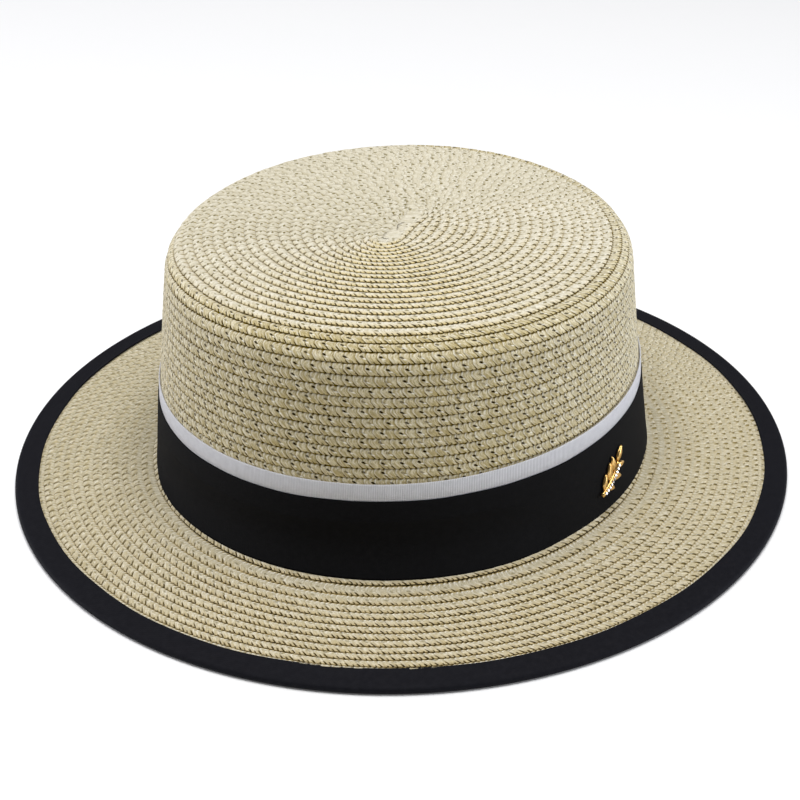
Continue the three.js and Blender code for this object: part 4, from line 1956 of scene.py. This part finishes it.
    def _stone_row(self, onto: Matrix, material: bpy.types.Material) -> bpy.types.Object:
        """Makes the row of cut stones along the stem.

        Args:
            onto: The move onto the band.
            material: The stones' material.

        Returns:
            The piece.
        """
        row = bmesh.new()
        places = [self._stem_at(step / 20)[0] for step in range(21)]
        length = sum((after - before).length for before, after in zip(places, places[1:]))
        count = int(length / self.stone_gap) - 1
        for index in range(count):
            place, heading = self._stem_at((index + 1) / (count + 1))
            stone = bmesh.ops.create_icosphere(row, subdivisions=1, radius=self.stone_radius)["verts"]
            seat = Matrix.Translation(place + Vector((0, 0, 2 * self.stem_radius + 0.1 * MM)))
            shape = Matrix.Rotation(heading + index, 4, "Z") @ Matrix.Diagonal((1, 1, 0.7, 1))
            bmesh.ops.transform(row, verts=stone, matrix=seat @ shape)
        bmesh.ops.transform(row, verts=row.verts, matrix=onto)
        mesh = into_mesh("stones", row)
        piece = finish_piece("sprig_stones", mesh, material)
        mesh.polygons.foreach_set("use_smooth", [False] * len(mesh.polygons))
        return piece


# ------------------------------
# Studio
# ------------------------------


@dataclass(frozen=True)
class SoftBox:
    """One soft light: where it stands, what it points at, its size and its power."""

    name: str
    place: tuple[float, float, float]
    size: tuple[float, float]
    power: float
    colour: Colour = (1.0, 1.0, 1.0)


@dataclass
class Studio:
    """A pale floor, soft lights and the camera."""

    form: HatForm
    azimuth: float = math.radians(30)
    elevation: float = math.radians(31.28)
    distance: float = 0.732
    lens: float = 86.96
    shift_y: float = 0.038
    roll: float = math.radians(0.335)
    boxes: tuple[SoftBox, ...] = (
        SoftBox("over", (0.04, -0.05, 1.5), (1.05, 1.05), 21.7),
        SoftBox("right", (1.25, 0.71, 0.21), (0.9, 0.5), 9.6, (0.95, 1.0, 1.12)),
        SoftBox("left", (-1.33, -0.36, 0.30), (0.9, 0.6), 8.5, (0.99, 1.0, 1.09)),
    )

    def build(self) -> None:
        """Makes the floor, the lights, the surroundings and the camera."""
        self._floor()
        self._surroundings()
        for box in self.boxes:
            self._light(box)
        self._camera()

    def _floor(self) -> None:
        """Makes the floor."""
        plane = bmesh.new()
        bmesh.ops.create_grid(plane, x_segments=1, y_segments=1, size=6.0)
        mesh = into_mesh("floor", plane)
        material, build, shader = new_material("pale_floor")
        place = build.place()
        grain = build.noise(place, 40.0)
        build.feed(shader.inputs["Base Color"], build.mix(grain, (0.97, 0.97, 0.97), (0.98, 0.98, 0.98)))
        shader.inputs["Roughness"].default_value = 0.9
        shader.inputs["Specular IOR Level"].default_value = 0.1
        shader.inputs["Emission Color"].default_value = (1, 1, 1, 1)
        shader.inputs["Emission Strength"].default_value = 0.08
        mesh.materials.append(material)
        floor = bpy.data.objects.new("floor", mesh)
        floor.location.z = -0.0001
        bpy.context.scene.collection.objects.link(floor)

    def _surroundings(self) -> None:
        """Makes the even light all round."""
        world = bpy.data.worlds.new("studio")
        world.use_nodes = True
        build = Shading(world.node_tree)
        shader = build.node("ShaderNodeBackground")
        shader.inputs["Color"].default_value = (1, 1, 1, 1)
        shader.inputs["Strength"].default_value = 0.06
        output = build.node("ShaderNodeOutputWorld")
        build.tree.links.new(shader.outputs[0], output.inputs["Surface"])
        bpy.context.scene.world = world
        bpy.context.scene.view_settings.view_transform = "Standard"

    def _light(self, box: SoftBox) -> None:
        """Makes one soft light that points at the hat.

        Args:
            box: The light.
        """
        data = bpy.data.lights.new(box.name, "AREA")
        data.shape = "RECTANGLE"
        data.size, data.size_y = box.size
        data.energy = box.power
        data.color = box.colour
        light = bpy.data.objects.new(box.name, data)
        light.location = box.place
        aim = Vector((0, 0, self.form.foot)) - Vector(box.place)
        light.rotation_euler = aim.to_track_quat("-Z", "Y").to_euler()
        bpy.context.scene.collection.objects.link(light)

    def _camera(self) -> None:
        """Makes the camera, which looks at the crown's foot."""
        target = Vector((*self.form.shift, self.form.foot))
        level = math.cos(self.elevation)
        across, ahead = math.sin(self.azimuth) * level, -math.cos(self.azimuth) * level
        away = Vector((across, ahead, math.sin(self.elevation)))
        data = bpy.data.cameras.new("camera")
        data.lens = self.lens
        data.sensor_width = 36.0
        data.shift_y = self.shift_y
        data.clip_start = 0.01
        camera = bpy.data.objects.new("camera", data)
        camera.location = target + away * self.distance
        look = (-away).to_track_quat("-Z", "Y").to_matrix().to_4x4()
        camera.rotation_euler = (look @ Matrix.Rotation(self.roll, 4, "Z")).to_euler()
        bpy.context.scene.collection.objects.link(camera)
        bpy.context.scene.camera = camera


# ------------------------------
# The hat
# ------------------------------

# One paper straw in lit and shaded copies: the top's paler colour is painted light, the side's darker,
# yellower colour painted shade, and the brim's colour is darker than the top's too.
TOP_STRAW = StrawFinish(
    "paper_straw_top", light=(0.905, 0.855, 0.72), deep=(0.67, 0.605, 0.435), gold=(0.87, 0.69, 0.29),
    hole=(0.20, 0.155, 0.02), creases=0.5, upper=0.15, nooks=0.1, holes=0.8, teeth=1.0,
    walls=0.9, lines=0.5, slim=0.95, longer=-0.08, rungs=1.6, shade=0.3, borders=0.28, seams=0.2, tint=0.75,
    easing=0.35, spots=0.6)
SIDE_STRAW = StrawFinish(
    "paper_straw_side", light=(0.775, 0.695, 0.475), deep=(0.49, 0.40, 0.20), creases=1.0, upper=0.5,
    nooks=0.5, teeth=0.4, lines=0.95, slim=0.65, turning=0.0, edge_on_light=0.22, fibres=1.3)
BRIM_STRAW = StrawFinish(
    "paper_straw_brim", light=(0.70, 0.64, 0.485), deep=(0.54, 0.465, 0.29), gold=(0.73, 0.54, 0.20),
    hole=(0.13, 0.095, 0.01), creases=0.55, upper=0.2, nooks=0.1, holes=0.45, teeth=0.95,
    walls=0.6, lines=0.55, slim=1.0, longer=0.25, rungs=0.3, fading=0.9, borders=0.42, seams=0.4, tint=0.8,
    easing=0.35, side_slim=1.35, strips=0.12, spots=0.9)
BAND_CLOTH = ClothFinish(
    "black_knit", (0.0038, 0.0038, 0.0044), (0.0062, 0.0062, 0.0070), rib=0.9 * MM, weave=0.55 * MM,
    rib_height=0.1, thread_height=0.8, patch_height=1.2, depth=0.10 * MM, specular=0.12)
RIBBON_CLOTH = ClothFinish(
    "white_grosgrain", (0.81, 0.81, 0.84), (0.75, 0.75, 0.78), rib=0.62 * MM, weave=0.31 * MM, rib_height=1.0,
    thread_height=0.2, patch_height=0.2, rib_shade=0.3, depth=0.12 * MM, rough=0.75)
BINDING_CLOTH = ClothFinish(
    "black_twill_tape", (0.0075, 0.0075, 0.0105), (0.0115, 0.0115, 0.0150), rib=0.5 * MM, weave=0.4 * MM,
    lean=0.8, rib_height=0.6, thread_height=0.3, patch_height=0.6, depth=0.06 * MM, rough=0.7,
    specular=0.08)


STRETCHES = (
    Stretch("crown_top_rows", Spiral.FIRST_TURN, 21.5, TOP_STRAW, "crown", 1.0),
    Stretch("crown_upper_rows", 21.5, 29.5, SIDE_STRAW, "crown", 0.4),
    Stretch("crown_lower_rows", 29.5, 37.0, SIDE_STRAW, "crown", 0.4),
    Stretch("crown_foot_rows", 37.0, 45.4, SIDE_STRAW, "crown", 0.4, Detail.COVERED),
    Stretch("brim_inner_rows", 45.4, 51.0, BRIM_STRAW, "brim", 1.0),
    Stretch("brim_middle_rows", 51.0, 56.0, BRIM_STRAW, "brim", 1.0),
    Stretch("brim_outer_rows", 56.0, 60.6, BRIM_STRAW, "brim", 1.0),
    Stretch("brim_rim_rows", 60.6, 62.4, BRIM_STRAW, "brim", 1.0, Detail.COVERED),
)


def build_straw(form: HatForm, groups: Groups) -> None:
    """Makes the crown and the brim of sewn straw rows.

    Args:
        form: The hat's form.
        groups: The shared node groups.
    """
    spiral = Spiral(form)
    straws = {finish: finish.build(groups) for finish in (TOP_STRAW, SIDE_STRAW, BRIM_STRAW)}
    for stretch in STRETCHES:
        StrawRows(spiral, stretch).build(straws[stretch.finish])
    CoilStart(spiral).build(straws[TOP_STRAW])


def main() -> None:
    """Builds the hat round its frame, and the studio that it stands in."""
    logging.basicConfig(level=logging.INFO, format="%(name)s %(message)s")
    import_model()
    form = HatForm.from_frame()
    groups = Groups()
    Studio(form).build()
    build_straw(form, groups)
    HatBand(form).build(BAND_CLOTH.build(groups))
    Ribbon(form).build(RIBBON_CLOTH.build(groups))
    Binding(form).build(BINDING_CLOTH.build(groups))
    Sprig(form).build(GoldFinish().build(), StoneFinish().build())


if __name__ == "__main__":
    main()
